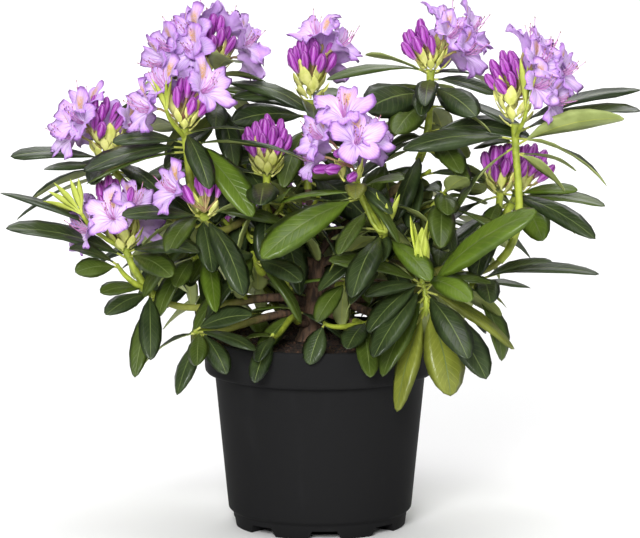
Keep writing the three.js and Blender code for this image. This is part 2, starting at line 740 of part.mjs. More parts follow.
/** Grows the leaves that draw a mass's outline. */
function growReach(mass) {
  const reachFrom = (curve, tips, count, atFoot, key) => {
    const place = whorlPlaces(curve, count, atFoot);
    tips.forEach((tip, i) => settleLeaf(mass, leafTo(place((i + 0.9) / tips.length), tip, key + i)));
  };
  mass.twigs.forEach((twig, t) => {
    const tips = twig.reach ?? [];
    reachFrom(mass.curves[t], tips, tips.length + twig.leaves, false, mass.key + 100 * t + 40);
  });
  const tips = mass.reach ?? [];
  reachFrom(mass.curves[0], tips, tips.length + mass.base, true, mass.key + 90);
}

/** Fills a mass's whorls by the golden angle, from the lowest leaf up. */
function growWhorls(mass) {
  const fillWhorl = (place, count, turn, key) => {
    for (let i = 0; i < count; i++) {
      const rank = (i + 0.5) / count;
      const azimuth = degToRad(turn + GOLDEN_ANGLE * i);
      settleLeaf(mass, whorlLeaf(place(rank), rank, azimuth, mass.size ?? LEAF_LENGTH, key + i));
    }
  };
  mass.twigs.forEach((twig, t) => {
    const key = mass.key + 100 * t;
    const all = (twig.reach ?? []).length + twig.leaves;
    fillWhorl(whorlPlaces(mass.curves[t], all, false), twig.leaves, twig.turn, key);
  });
  const all = (mass.reach ?? []).length + mass.base;
  fillWhorl(whorlPlaces(mass.curves[0], all, true), mass.base, mass.turn, mass.key + 70);
}

/** A named group inside another. */
function addGroup(parent, name) {
  const group = new THREE.Group();
  group.name = name;
  parent?.add(group);
  return group;
}

/** Adds a named piece with its own material to a group. */
function addPiece(group, name, solid, finish) {
  const mesh = new THREE.Mesh(geometryOf(solid), new THREE.MeshStandardMaterial(finish));
  mesh.name = name;
  group.add(mesh);
}

const plant = addGroup(null, "potted_rhododendron");
const container = addGroup(plant, "container");
const wood = addGroup(plant, "wood");
const crown = addGroup(plant, "crown");

addPiece(container, "pot", claim("pot", makePot()), BLACK_PLASTIC);
addPiece(container, "peat", claim("peat", makePeat()), DARK_PEAT);

MASSES.forEach(layBough);
MASSES.forEach(layTwigs);

// Each limb is cut clear of the limbs before it, so that it starts at the bark of its parent.
const earlier = [];
for (const [name, shape] of limbs) {
  const cut = earlier.reduce((solid, other) => solid.subtract(other), limbSolid(shape));
  addPiece(wood, name, claim(name, fuse([cut])), BROWN_BARK);
  earlier.push(limbSolid(shape, CLEAR));
}

for (const grow of [growStems, growReach, growTrusses, growWhorls]) MASSES.forEach(grow);
for (const mass of MASSES) addPiece(crown, "foliage_" + mass.name, fuse(mass.solids), GREEN_LEAF);

export default plant;
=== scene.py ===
"""Potted rhododendron in bloom: the looks of a flowering shrub in a black nursery pot."""
import logging
import math
from dataclasses import dataclass, field, replace
from enum import Enum, IntEnum

import bpy
import numpy as np
from bpy.types import Material, Node, NodeSocket, Object
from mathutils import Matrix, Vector
from mathutils.bvhtree import BVHTree


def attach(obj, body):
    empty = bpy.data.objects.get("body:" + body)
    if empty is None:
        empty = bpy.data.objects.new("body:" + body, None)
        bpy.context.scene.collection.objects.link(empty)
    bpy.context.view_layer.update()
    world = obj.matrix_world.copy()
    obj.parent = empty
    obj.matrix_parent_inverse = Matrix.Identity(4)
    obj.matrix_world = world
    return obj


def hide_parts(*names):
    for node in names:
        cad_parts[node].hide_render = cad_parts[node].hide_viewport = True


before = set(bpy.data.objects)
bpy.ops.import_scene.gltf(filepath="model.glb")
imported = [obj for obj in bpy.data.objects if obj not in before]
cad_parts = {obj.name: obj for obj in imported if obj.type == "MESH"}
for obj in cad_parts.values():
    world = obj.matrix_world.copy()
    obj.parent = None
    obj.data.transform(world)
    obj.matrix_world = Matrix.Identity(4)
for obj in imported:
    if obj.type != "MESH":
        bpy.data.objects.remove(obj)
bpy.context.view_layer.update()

LOG = logging.getLogger("rhododendron")

# The plant is grown in millimetres, as the solids are; meshes are made in metres.
MM = 0.001
# The gap between pieces that touch, and the room that a leaf wants all round it.
CLEAR = 0.3
ROOM = 0.7
GOLDEN_ANGLE = 137.5
LEAF_LENGTH = 104.0
FULL_TURN = 2 * math.pi
# How many points measure a curve's length.
LENGTH_POINTS = 60
# The span of a random phase, in radians.
PHASE = 6.28
# How far apart the keys of masses, of their twigs and of their side twigs lie.
MASS_KEYS = 1000
TWIG_KEYS = 100
SPRIG_KEYS = 20

Vec = np.ndarray
Colour = tuple[float, float, float]
Point = tuple[float, float, float]
Span = tuple[float, float]
Row = tuple[float, ...]
Face = tuple[int, ...]
Inputs = dict[str | int, object]
UP = np.array((0.0, 0.0, 1.0))


class Trait(IntEnum):
    """What a draw of noise is for."""

    LENGTH = 0
    PITCH = 1
    BEND = 2
    ROLL = 3
    WIDTH = 4
    FLOWER_SIZE = 5
    TONE = 7
    CUP = 11
    WAVE = 12
    TWIST = 13
    BRACT_LENGTH = 21
    BRACT_PITCH = 22
    RIPPLE = 30
    PETAL_TONE = 40
    BUD_WIDTH = 41
    STAMEN_TURN = 43
    STAMEN_SPREAD = 44
    STAMEN_LENGTH = 45


class Series(IntEnum):
    """Where the keys of the things on a mass begin."""

    WHORL = 0
    REACH = 40
    TRUSS = 60
    BASE = 70
    BASE_REACH = 90
    FINER = 500
    SHOOT = 700
    SPRIG = 800


class Tone(Enum):
    """Leaf colours."""

    DEEP = "deep"
    GREEN = "green"
    FRESH = "fresh"
    OLIVE = "olive"
    SHOOT = "shoot"
    BRACT = "bract"


def noise(key: int, trait: int) -> float:
    """Draws repeatable noise.

    Args:
        key: whole number that names the thing.
        trait: whole number that names what the draw is for.

    Returns:
        A value from 0 to 1.
    """
    mask = 0xFFFFFFFF
    h = ((key + 1) * 0x9E3779B1 ^ (trait + 1) * 0x85EBCA6B) & mask
    h = ((h ^ h >> 15) * 0x2C1B3C6D) & mask
    h = ((h ^ h >> 12) * 0x297A2D39) & mask
    return (h ^ h >> 15) / 2**32


def lerp(low: float, high: float, share: float) -> float:
    """Blends from low to high by a share."""
    return low + (high - low) * share


def between(span: Span, key: int, trait: int) -> float:
    """Draws a repeatable value from a span."""
    return lerp(*span, noise(key, trait))


def sway(width: float, key: int, trait: int) -> float:
    """Draws a repeatable value from a span of a width round zero."""
    return width * (noise(key, trait) - 0.5)


def unit(way: Vec) -> Vec:
    """Scales a vector to length one."""
    return way / np.linalg.norm(way)


def frame_round(axis: Vec) -> tuple[Vec, Vec]:
    """Finds two unit vectors square to an axis.

    Args:
        axis: unit vector.

    Returns:
        The one nearest +X, and the one a quarter turn on.
    """
    across = unit(np.array((1.0, 0.0, 0.0)) - axis * axis[0])
    return across, np.cross(axis, across)


def turns(count: int) -> Vec:
    """Gives the angles of a number of even steps round a circle."""
    return np.linspace(0, FULL_TURN, count, endpoint=False)


def ring(centre: Vec, across: Vec, over: Vec, radius: float, sides: int) -> Vec:
    """Places points round a centre.

    Args:
        centre: the ring's middle.
        across: first unit vector of its plane.
        over: second unit vector of its plane.
        radius: distance of the points.
        sides: number of points.

    Returns:
        The points, one row each.
    """
    turn = turns(sides)[:, None]
    return centre + radius * (across * np.cos(turn) + over * np.sin(turn))


@dataclass(frozen=True)
class Growth:
    """A curve that leaves one point on one heading and arrives at another on a second heading."""

    start: Vec
    heading: Vec
    end: Vec
    arrival: Vec

    def controls(self) -> list[Vec]:
        """Gives the four points of the cubic."""
        third = np.linalg.norm(self.end - self.start) / 3
        return [self.start, self.start + self.heading * third, self.end - self.arrival * third, self.end]

    def at(self, share: float) -> Vec:
        """Gives the point at a share of the way."""
        (a, b, c, d), t, s = self.controls(), share, 1 - share
        return a * s**3 + b * (3 * s * s * t) + c * (3 * s * t * t) + d * t**3

    def tangent(self, share: float) -> Vec:
        """Gives the unit direction at a share of the way."""
        (a, b, c, d), t, s = self.controls(), share, 1 - share
        return unit((b - a) * (s * s) + (c - b) * (2 * s * t) + (d - c) * (t * t))

    def path(self, count: int) -> Vec:
        """Gives points along the whole curve."""
        return np.array([self.at(i / (count - 1)) for i in range(count)])

    def length(self) -> float:
        """Measures the curve."""
        return float(np.linalg.norm(np.diff(self.path(LENGTH_POINTS), axis=0), axis=1).sum())


class Solid:
    """A simple closed volume that is tested against others."""

    def __init__(self, points: Vec, faces: list[Face]) -> None:
        """Takes points in millimetres and faces as tuples of their indices."""
        self.low, self.high = points.min(axis=0), points.max(axis=0)
        self.tree = BVHTree.FromPolygons(points.tolist(), faces)

    @classmethod
    def loft(cls, rings: list[Vec]) -> "Solid":
        """Closes a skin through rings of points; a ring of one point is a tip.

        Args:
            rings: arrays of points, in order along the volume.

        Returns:
            The closed volume.
        """
        starts = np.cumsum([0] + [len(row) for row in rings])
        faces = []
        for i in range(len(rings) - 1):
            a, b = len(rings[i]), len(rings[i + 1])
            for k in range(max(a, b)):
                p, q = starts[i] + k % a, starts[i] + (k + 1) % a
                r, s = starts[i + 1] + k % b, starts[i + 1] + (k + 1) % b
                faces += [(p, q, s)] if a > 1 else []
                faces += [(p, s, r)] if b > 1 else []
        for i in (0, len(rings) - 1):
            if len(rings[i]) > 2:
                faces.append(tuple(starts[i] + k for k in range(len(rings[i]))))
        return cls(np.vstack(rings), [tuple(int(v) for v in face) for face in faces])

    @classmethod
    def of_node(cls, node: Object) -> "Solid":
        """Takes the volume of a node of the part."""
        points = np.array([vertex.co for vertex in node.data.vertices]) / MM
        return cls(points, [tuple(face.vertices) for face in node.data.polygons])

    def meets(self, other: "Solid") -> bool:
        """Tells whether two volumes cross."""
        return bool(self.tree.overlap(other.tree))


@dataclass(frozen=True)
class LeafPlan:
    """Proportions that all leaves share; bend and roll in degrees."""

    petiole_half: float = 1.1
    blade_from: float = 0.2
    widest: float = 0.54
    width_share: float = 0.32
    widths: Span = (0.9, 1.15)
    fold: float = 0.1
    keel_share: float = 0.016
    edge_room: float = 5
    edge_lift: float = 0.4
    bend: float = 34
    bends: Span = (0.7, 1.6)
    roll: float = 56


@dataclass(frozen=True)
class WhorlPlan:
    """How the leaves of a whorl stand; they hang more the lower they are."""

    spacing: float = 3.4
    most: float = 0.8
    foot: float = 0.08
    tip: float = 0.98
    reach_rank: float = 0.9
    length_low: float = 0.78
    length_gain: float = 0.34
    pitch: Span = (-24, 18)
    hang: Span = (-14, 8)
    hang_heights: Span = (200, 450)
    jitter: float = 18


@dataclass(frozen=True)
class TrussPlan:
    """How the flowers and buds of a truss stand."""

    count: int = 12
    polar: Span = (8, 70)
    crowding: float = 0.8
    sizes: Span = (0.9, 1.1)
    rachis: float = 14
    level: float = 92
    stalk: float = 25
    depth: float = 22
    radius: float = 21
    sides: int = 5
    backward: float = 0.05
    bud_stalk: float = 16
    bud_length: float = 24
    bud_radius: float = 5
    bud_sides: int = 4
    bud_belly: float = 0.6
    bud_polar: Span = (3, 64)
    bud_crowding: float = 0.6
    bud_nod: float = -0.45
    bud_keys: int = 30
    apart: float = 0.94
    cup_radius: float = 12.5
    cup_height: float = 24
    cup_sink: float = 3
    cup_open: float = 0.6


@dataclass(frozen=True)
class BractPlan:
    """How the pale scales under a truss stand, from the lowest to the highest."""

    sink: float = 3
    climb: float = 11
    out: Span = (4.2, 8.4)
    length: Span = (18, 28)
    lengths: Span = (0.85, 1.15)
    pitch: Span = (26, 58)
    jitter: float = 14
    bend: float = -34
    width_share: float = 0.5


@dataclass(frozen=True)
class ShootPlan:
    """How the narrow leaves of a young shoot stand; bend in radians."""

    leaves_twig: float = 0.9
    lengths: Span = (0.85, 1.15)
    jitter: float = 14
    bend: float = 0.35
    least_bend: float = 0.02


LEAF = LeafPlan()
WHORL = WhorlPlan()
TRUSS = TrussPlan()
BRACT = BractPlan()
SHOOT = ShootPlan()

# How a leaf turns aside when its place is taken: turn and lift in degrees, share of its length.
ASIDE = (
    (0, 0, 1), (0, 5, 1), (0, -5, 1), (6, 0, 1), (-6, 0, 1), (13, 7, 1), (-13, 7, 1), (9, -13, 1),
    (-9, -13, 1), (0, 16, 0.92), (22, -6, 0.92), (-22, -6, 0.92), (0, -22, 0.85), (30, 13, 0.8),
    (-30, 13, 0.8), (15, -30, 0.7), (-15, -30, 0.7),
)


@dataclass(frozen=True)
class Leaf:
    """One leaf: an arched blade on a short petiole; angles in radians."""

    root: Vec
    azimuth: float
    pitch: float
    bend: float
    roll: float
    length: float
    width: float
    key: int
    tone: Tone = Tone.DEEP

    @classmethod
    def to_tip(cls, root: Vec, tip: Vec, key: int) -> "Leaf":
        """Draws a leaf from its root to a given tip.

        Args:
            root: where it leaves the twig.
            tip: the point that it reaches.
            key: names its noise.

        Returns:
            The leaf.
        """
        way = tip - root
        bend = math.radians(LEAF.bend)
        chord = float(np.linalg.norm(way))
        length = chord * (bend / 2) / math.sin(bend / 2)
        return cls(
            root,
            azimuth=math.atan2(way[1], way[0]),
            pitch=math.asin(way[2] / chord) + bend / 2,
            bend=bend,
            roll=math.radians(sway(LEAF.roll, key, Trait.ROLL)),
            length=length,
            width=length * LEAF.width_share * between(LEAF.widths, key, Trait.WIDTH),
            key=key,
        )

    @classmethod
    def of_whorl(cls, root: Vec, rank: float, azimuth: float, size: float, key: int) -> "Leaf":
        """Grows one leaf of a whorl.

        Args:
            root: where it leaves the twig.
            rank: from 0, the lowest, to 1.
            azimuth: its direction in radians.
            size: usual length of the whorl's leaves.
            key: names its noise.

        Returns:
            The leaf.
        """
        length = size * (WHORL.length_low + WHORL.length_gain * noise(key, Trait.LENGTH))
        low, high = WHORL.hang_heights
        hang = lerp(*WHORL.hang, (root[2] - low) / (high - low))
        return cls(
            root,
            azimuth=azimuth,
            pitch=math.radians(lerp(*WHORL.pitch, rank) + hang + sway(WHORL.jitter, key, Trait.PITCH)),
            bend=math.radians(LEAF.bend * between(LEAF.bends, key, Trait.BEND)),
            roll=math.radians(sway(LEAF.roll, key, Trait.ROLL)),
            length=length,
            width=length * LEAF.width_share * between(LEAF.widths, key, Trait.WIDTH),
            key=key,
        )

    def frames(self, shares: Vec) -> tuple[Vec, Vec, Vec]:
        """Gives the midline and its cross directions.

        Args:
            shares: shares of the leaf's length.

        Returns:
            Points, side vectors and normals, one row for each share.
        """
        pitch = (self.pitch - self.bend * np.asarray(shares, float))[:, None]
        out = np.array((math.cos(self.azimuth), math.sin(self.azimuth), 0.0))
        along = self.length / self.bend * (math.sin(self.pitch) - np.sin(pitch))
        rise = self.length / self.bend * (np.cos(pitch) - math.cos(self.pitch))
        point = self.root + out * along + UP * rise
        flat_side = np.array((-out[1], out[0], 0.0)) + 0 * pitch
        flat_normal = UP * np.cos(pitch) - out * np.sin(pitch)
        c, s = math.cos(self.roll), math.sin(self.roll)
        return point, flat_side * c + flat_normal * s, flat_normal * c - flat_side * s

    def turned(self, aside: Point) -> "Leaf":
        """Turns the leaf aside.

        Args:
            aside: one entry of ASIDE.

        Returns:
            The turned leaf.
        """
        turn, lift, share = aside
        return replace(
            self,
            azimuth=self.azimuth + math.radians(turn),
            pitch=self.pitch + math.radians(lift),
            length=self.length * share,
            width=self.width * share,
        )

    def solid(self, room: float = 0, start: float = 0) -> Solid:
        """Gives the leaf's simple volume.

        Args:
            room: how much fatter it is all round.
            start: share of its length where it begins.

        Returns:
            A thin blade with a keel.
        """
        keel = self.length * LEAF.keel_share + room
        points, sides, normals = self.frames((start, LEAF.widest, 1))
        rings = []
        for i, share in enumerate((start, LEAF.widest)):
            half = lerp(LEAF.petiole_half, self.width / 2, share / LEAF.widest)
            edge = sides[i] * (half + LEAF.edge_room * room)
            lift = normals[i] * (LEAF.fold * half + room + LEAF.edge_lift)
            corners = (points[i] + edge + lift, points[i] - edge + lift, points[i] - normals[i] * keel)
            rings.append(np.array(corners))
        return Solid.loft([*rings, points[2:3]])


@dataclass(frozen=True)
class Reach:
    """The tip of a leaf that draws the crown's outline, and how much broader than usual it is.

    Roll is in degrees; positive shows the leaf's top to -Y where it points right.
    """

    x: float
    y: float
    z: float
    roll: float | None = None
    tone: Tone = Tone.DEEP
    broad: float = 1


@dataclass(frozen=True)
class Bloom:
    """A flower's place in its truss: angles round and from the upright, longer stalk, nod outwards."""

    azimuth: float
    polar: float
    stretch: float = 0
    nod: float = 20


@dataclass(frozen=True)
class Truss:
    """A flower truss, in bloom for the share open on the side faces; it stands rise higher than its twig.

    Blooms lists the open flowers where they are seen; lean gives the buds' azimuth, angle and lift.
    """

    open: float
    faces: float
    turn: float
    rise: float = 0
    blooms: tuple[Bloom, ...] = ()
    buds: int = 12
    lean: Point = (0, 0, 0)


@dataclass(frozen=True)
class Shoot:
    """A young shoot that leaves its twig for base and opens in narrow upright leaves."""

    count: int
    faces: float
    base: Point
    length: float = 40
    pitch: float = 62
    width: float = 0.2
    fan: Span = (52, 0)
    roll: float = 0


@dataclass
class Twig:
    """A twig that ends at tip in a whorl of leaves."""

    tip: Point
    leaves: int
    turn: float
    truss: Truss | None = None
    reach: list[Reach] = field(default_factory=list)
    shoot: Shoot | None = None
    axis: Vec = field(init=False)
    curve: Growth = field(init=False)


@dataclass
class Mass:
    """A mass of foliage on a bough that grows from a limb to fork, with base leaves round it.

    Finer counts the smaller leaves added to each whorl, sprigs the side twigs along the bough.
    """

    name: str
    limb: str
    at: float
    fork: Point
    twigs: list[Twig]
    base: int = 0
    turn: float = 0
    size: float = LEAF_LENGTH
    reach: list[Reach] = field(default_factory=list)
    finer: int = 5
    sprigs: int = 3
    key: int = field(init=False)
    heading: Vec = field(init=False)

    def keys(self, series: Series, twig: int = 0) -> int:
        """Gives the first key of a series of things on one of the twigs."""
        return self.key + TWIG_KEYS * twig + series


# The masses of the crown, each after the limb that it grows from.
MASSES = (
    Mass("crown_left", "trunk", 0.97, (-84, 12, 352), base=4, turn=250, finer=7, twigs=[
        Twig((-105, 15, 449), 7, 150, Truss(0.8, 100, 62, 2, (
            Bloom(240, 58, 2), Bloom(210, 62, 14), Bloom(230, 34, 2, 34), Bloom(50, 28),
            Bloom(350, 50, -2), Bloom(30, 72), Bloom(206, 78, 16), Bloom(130, 66),
            Bloom(120, 14, -2), Bloom(196, 40, 6),
        ), 16, (285, 12, 6)), [
            Reach(-50, 6, 424, tone=Tone.FRESH), Reach(-178, -10, 432, tone=Tone.GREEN),
        ]),
    ]),
    Mass("left_upper", "bough_crown_left", 0.55, (-106, -45, 303), base=6, turn=200, twigs=[
        Twig((-132, -56, 402), 4, 60, Truss(0.62, 150, 0, 2, (
            Bloom(212, 26, 2), Bloom(316, 40, 6), Bloom(80, 50), Bloom(206, 62, 4),
        ), 14, (310, 10, 0)), [
            Reach(-226, -96, 352, -4, Tone.GREEN, 0.75), Reach(-12, -112, 377, -4),
            Reach(-62, -118, 340, 20, Tone.FRESH), Reach(-106, -122, 351, 4),
        ], Shoot(5, 230, (-148, -82, 422), 33, 70, 0.2, (40, 6), 30)),
        Twig((-112, -76, 318), 2, 300, Truss(0.2, 200, 40, 4, (Bloom(205, 48),), 7, (205, 14, 0))),
    ]),
    Mass("left_arm", "trunk", 0.86, (-156, -2, 312), base=4, turn=320, twigs=[
        Twig((-209, -10, 366), 5, 60, Truss(0.56, 330, 100, 8, (
            Bloom(325, 52, 8), Bloom(215, 14, 4), Bloom(212, 62, 4), Bloom(230, 42, 4), Bloom(70, 60),
            Bloom(130, 58),
        ), 18, (300, 14, 8)), [
            Reach(-268, -62, 362, -12), Reach(-303, -24, 370, -4),
        ]),
    ]),
    Mass("left_low", "trunk", 0.4, (-155, -50, 232), finer=0, sprigs=1, turn=300, reach=[
        Reach(-179, -112, 166, -20, Tone.GREEN, 0.62), Reach(-207, -104, 226, -20),
        Reach(-174, -124, 198, -10, broad=0.8), Reach(-213, -86, 240, -16, Tone.GREEN),
    ], twigs=[
        Twig((-190, -60, 286), 1, 20, Truss(0.62, 270, 250, 0, (
            Bloom(252, 40, 4), Bloom(310, 24, 6), Bloom(200, 60, 2), Bloom(150, 60), Bloom(60, 60),
        ), 14, (120, 10, 22)), [
            Reach(-304, -88, 308, -30), Reach(-142, -134, 268, 24, Tone.GREEN),
            Reach(-102, -112, 278, 30), Reach(-316, -58, 328, -2, broad=0.55),
        ], Shoot(5, 186, (-230, -88, 322), 42, 54, 0.18, (14, 17), 62)),
        Twig((-197, -78, 272), 0, 120, None, [
            Reach(-236, -106, 268, -40, Tone.GREEN), Reach(-242, -100, 290, -34),
        ]),
    ]),
    Mass("crown_mid", "trunk", 1, (-12, 18, 332), base=5, turn=30, finer=7, twigs=[
        Twig((-9, 25, 420), 7, 100, Truss(0.42, 60, 40, 14, (
            Bloom(40, 26, 6, -50), Bloom(350, 36, 8), Bloom(70, 58),
        ), 20, (262, 6, 0)), [
            Reach(-86, -34, 405, -26), Reach(-94, 0, 416, -16),
        ]),
    ]),
    Mass("crown_right", "trunk", 1, (97, 2, 362), base=8, turn=250, finer=9, twigs=[
        Twig((109, 10, 452), 6, 75, Truss(0.6, 10, 215, 0, (
            Bloom(316, 36, 4, 22), Bloom(350, 44, 10), Bloom(330, 62, 4), Bloom(350, 12, -4),
            Bloom(60, 60),
        ), 16, (205, 16, 0)), [
            Reach(72, -72, 398, -30, Tone.GREEN, 1.25), Reach(44, -62, 420, -30, broad=1.25),
            Reach(152, -48, 412, 28, broad=1.3), Reach(172, 6, 428, 16),
            Reach(6, -50, 448, -10, Tone.GREEN, 0.45),
        ]),
    ]),
    Mass("centre", "bough_crown_right", 0.45, (66, -70, 290), base=6, turn=200, twigs=[
        Twig((34, -86, 355), 4, 40, Truss(0.92, 280, 280, 10, (
            Bloom(250, 14, 10), Bloom(280, 44, 4), Bloom(208, 44, 6), Bloom(196, 68, 4),
            Bloom(322, 30, -2), Bloom(150, 56), Bloom(90, 36), Bloom(64, 56),
        ), 5, (236, 88, 0)), [
            Reach(-56, -144, 287, -26, Tone.FRESH), Reach(80, -134, 362, 24, Tone.GREEN),
            Reach(82, -122, 342, 20),
        ], Shoot(5, 270, (64, -97, 306), 38, 74, 0.18)),
    ]),
    Mass("centre_left", "bough_crown_mid", 0.5, (-50, -26, 314), base=5, turn=300, twigs=[
        Twig((-52, -31, 354), 6, 215, Truss(0, 0, 0, 6, (), 22)),
    ]),
    Mass("right_arm", "trunk", 0.88, (176, -22, 266), finer=1, sprigs=0, twigs=[
        Twig((191, -30, 403), 4, 60, Truss(0.56, 5, 200, 22, (
            Bloom(316, 36, 6), Bloom(340, 56, 14), Bloom(20, 8, 10, 18), Bloom(330, 80, 4),
            Bloom(70, 58), Bloom(354, 28, 8), Bloom(306, 60, 2),
        ), 18, (205, 22, 0)), [
            Reach(239, -46, 338, -50, Tone.OLIVE, 1.2), Reach(294, -80, 414, -42, Tone.FRESH, 0.85),
            Reach(80, -66, 382, -18), Reach(313, -36, 416, 8),
            Reach(316, 10, 432, 2),
        ], Shoot(4, 270, (200, -60, 420), 48, 82, 0.15)),
    ]),
    Mass("right_low", "bough_right_arm", 0.62, (168, 18, 284), base=2, turn=120, finer=2, sprigs=0, twigs=[
        Twig((178, 8, 331), 1, 215, Truss(0, 0, 30, 0, (), 14), [
            Reach(268, -62, 294, 24, broad=0.68),
        ]),
        Twig((196, 36, 328), 2, 140, Truss(0, 0, 0, 0, (), 14), [
            Reach(282, 10, 316, 30, Tone.GREEN), Reach(254, 34, 284, 14, broad=0.7),
        ]),
    ]),
    Mass("right_front", "trunk", 0.42, (101, -85, 224), base=4, turn=20, sprigs=0, reach=[
        Reach(74, -132, 136, 6, Tone.OLIVE), Reach(126, -124, 150, 0, Tone.OLIVE, 1.5),
        Reach(160, -132, 168, 14), Reach(60, -142, 172, -12, Tone.GREEN),
        Reach(190, -66, 186, 20, Tone.OLIVE), Reach(164, -112, 264, 24, Tone.GREEN),
        Reach(46, -134, 214, -16),
    ], twigs=[
        Twig((99, -86, 261), 3, 100, None, [
            Reach(208, -132, 331, 40, Tone.FRESH), Reach(8, -132, 283, -30, Tone.GREEN),
            Reach(146, -142, 252, 22, Tone.FRESH),
        ], Shoot(5, 270, (98, -104, 260), 58, 82, 0.3)),
    ]),
    Mass("low_left", "trunk", 0.24, (-108, -78, 206), finer=0, sprigs=0, size=72, twigs=[
        Twig((-122, -88, 208), 1, 160, None, [
            Reach(-138, -118, 150, -8), Reach(-90, -128, 172, 6),
            Reach(-118, -140, 178, 0, Tone.GREEN), Reach(-62, -132, 196, 14),
            Reach(-64, -116, 222, 58, broad=1.2),
        ]),
    ]),
    Mass("low_centre", "trunk", 0.16, (-22, -20, 206), finer=0, sprigs=0, size=58, twigs=[
        Twig((-24, -34, 222), 6, 175, shoot=Shoot(3, 250, (-30, -48, 236), 34, 60)),
        Twig((-46, -88, 204), 4, 200, None, [Reach(-62, -128, 160, -4)]),
    ]),
    Mass("low_right", "trunk", 0.28, (34, -56, 211), finer=0, sprigs=0, size=66, twigs=[
        Twig((46, -72, 214), 2, 310, None, [
            Reach(48, -128, 164, 4, Tone.GREEN), Reach(26, -124, 196, -8),
        ]),
        Twig((4, -100, 218), 0, 0, None, [Reach(-10, -120, 180, -14, broad=1.2)]),
    ]),
    Mass("inner_left", "trunk", 0.6, (-56, -44, 258), finer=0, sprigs=0, size=72, twigs=[
        Twig((-66, -66, 282), 5, 60, None, [
            Reach(-18, -128, 262, 18), Reach(-84, -134, 254, -6, Tone.GREEN),
        ]),
    ]),
    Mass("inner_right", "trunk", 0.62, (18, -48, 246), finer=0, sprigs=0, size=70, twigs=[
        Twig((28, -78, 258), 4, 100),
    ]),
    Mass("mid_right", "bough_crown_right", 0.72, (112, -26, 318), size=92, twigs=[
        Twig((122, -46, 338), 7, 215),
    ]),
    Mass("right_under", "trunk", 0.6, (136, -30, 240), finer=0, sprigs=0, turn=240, twigs=[
        Twig((160, -46, 254), 3, 330, None, [
            Reach(208, -14, 238, 20), Reach(226, -66, 272, 26),
            Reach(274, -34, 255, 12, broad=0.55),
        ]),
    ]),
    Mass("back_left", "trunk", 0.72, (-98, 74, 276), base=5, turn=80, twigs=[
        Twig((-138, 108, 312), 7, 20),
        Twig((-96, 156, 258), 6, 70, Truss(0.75, 110, 20)),
    ]),
    Mass("back_mid", "trunk", 0.8, (-6, 84, 284), base=5, turn=140, twigs=[
        Twig((38, 108, 334), 7, 300),
        Twig((-14, 172, 272), 6, 40, Truss(0.85, 95, 120)),
    ]),
    Mass("back_right", "trunk", 0.68, (86, 78, 268), base=5, turn=10, twigs=[
        Twig((134, 112, 304), 7, 350),
        Twig((72, 166, 254), 6, 90, Truss(0.6, 70, 200)),
    ]),
    Mass("left_back", "trunk", 0.54, (-112, 58, 238), base=2, turn=60, size=80, sprigs=1, twigs=[
        Twig((-156, 84, 272), 7, 60),
    ]),
    Mass("right_back", "trunk", 0.5, (104, 66, 232), base=2, turn=100, size=80, twigs=[
        Twig((132, 98, 256), 7, 100),
    ]),
    Mass("back_low_left", "trunk", 0.3, (-86, 84, 216), size=78, sprigs=1, twigs=[
        Twig((-114, 118, 226), 9, 120),
    ]),
    Mass("back_low_mid", "trunk", 0.44, (2, 104, 240), size=84, finer=2, sprigs=0, twigs=[
        Twig((6, 152, 256), 6, 60),
    ]),
    Mass("back_low_right", "trunk", 0.32, (84, 86, 216), size=78, sprigs=1, twigs=[
        Twig((108, 116, 228), 9, 10),
    ]),
)


@dataclass(frozen=True)
class Flower:
    """An open flower or a bud: its stalk runs from root to seat, and its axis points out of it."""

    root: Vec
    seat: Vec
    axis: Vec
    lift: Vec
    size: float
    key: int
    open: bool


@dataclass(frozen=True)
class Stem:
    """A tapering stem along a path."""

    path: Vec
    radii: Vec


@dataclass(frozen=True)
class Whorl:
    """A whorl on a twig, where crowd leaves share the stretch below its tip or above its foot."""

    curve: Growth
    crowd: int
    key: int
    at_foot: bool = False

    def place(self, rank: float) -> Vec:
        """Finds where a leaf roots.

        Args:
            rank: from 0, the lowest, to 1.

        Returns:
            The root.
        """
        spread = min(WHORL.most, WHORL.spacing * self.crowd / self.curve.length())
        low = WHORL.foot if self.at_foot else WHORL.tip - spread
        return self.curve.at(low + spread * rank)


class Clearing:
    """Places already taken in the crown, by owner."""

    def __init__(self, most: int = 6000) -> None:
        """Makes room for a number of places."""
        self.lows, self.highs = np.zeros((most, 3)), np.zeros((most, 3))
        self.claims: list[tuple[str, Solid, Solid | None]] = []

    def claim(self, owner: str, solid: Solid, blade: Solid | None = None) -> None:
        """Takes a place.

        Args:
            owner: the mass that takes it.
            solid: the whole volume.
            blade: the part of a leaf that others of its mass avoid.
        """
        self.lows[len(self.claims)] = np.minimum(solid.low, blade.low) if blade else solid.low
        self.highs[len(self.claims)] = np.maximum(solid.high, blade.high) if blade else solid.high
        self.claims.append((owner, solid, blade))

    def is_free(self, owner: str, solid: Solid, blade: Solid | None) -> bool:
        """Tells whether a place is free.

        Args:
            owner: the mass that asks.
            solid: the whole volume, tested against other masses.
            blade: the part tested against blades of the same mass.

        Returns:
            True if nothing is met.
        """
        count = len(self.claims)
        near = (self.lows[:count] <= solid.high).all(axis=1) & (self.highs[:count] >= solid.low).all(axis=1)
        for index in np.flatnonzero(near):
            other, volume, other_blade = self.claims[index]
            if other != owner and volume.meets(solid):
                return False
            if other == owner and blade and other_blade and other_blade.meets(blade):
                return False
        return True


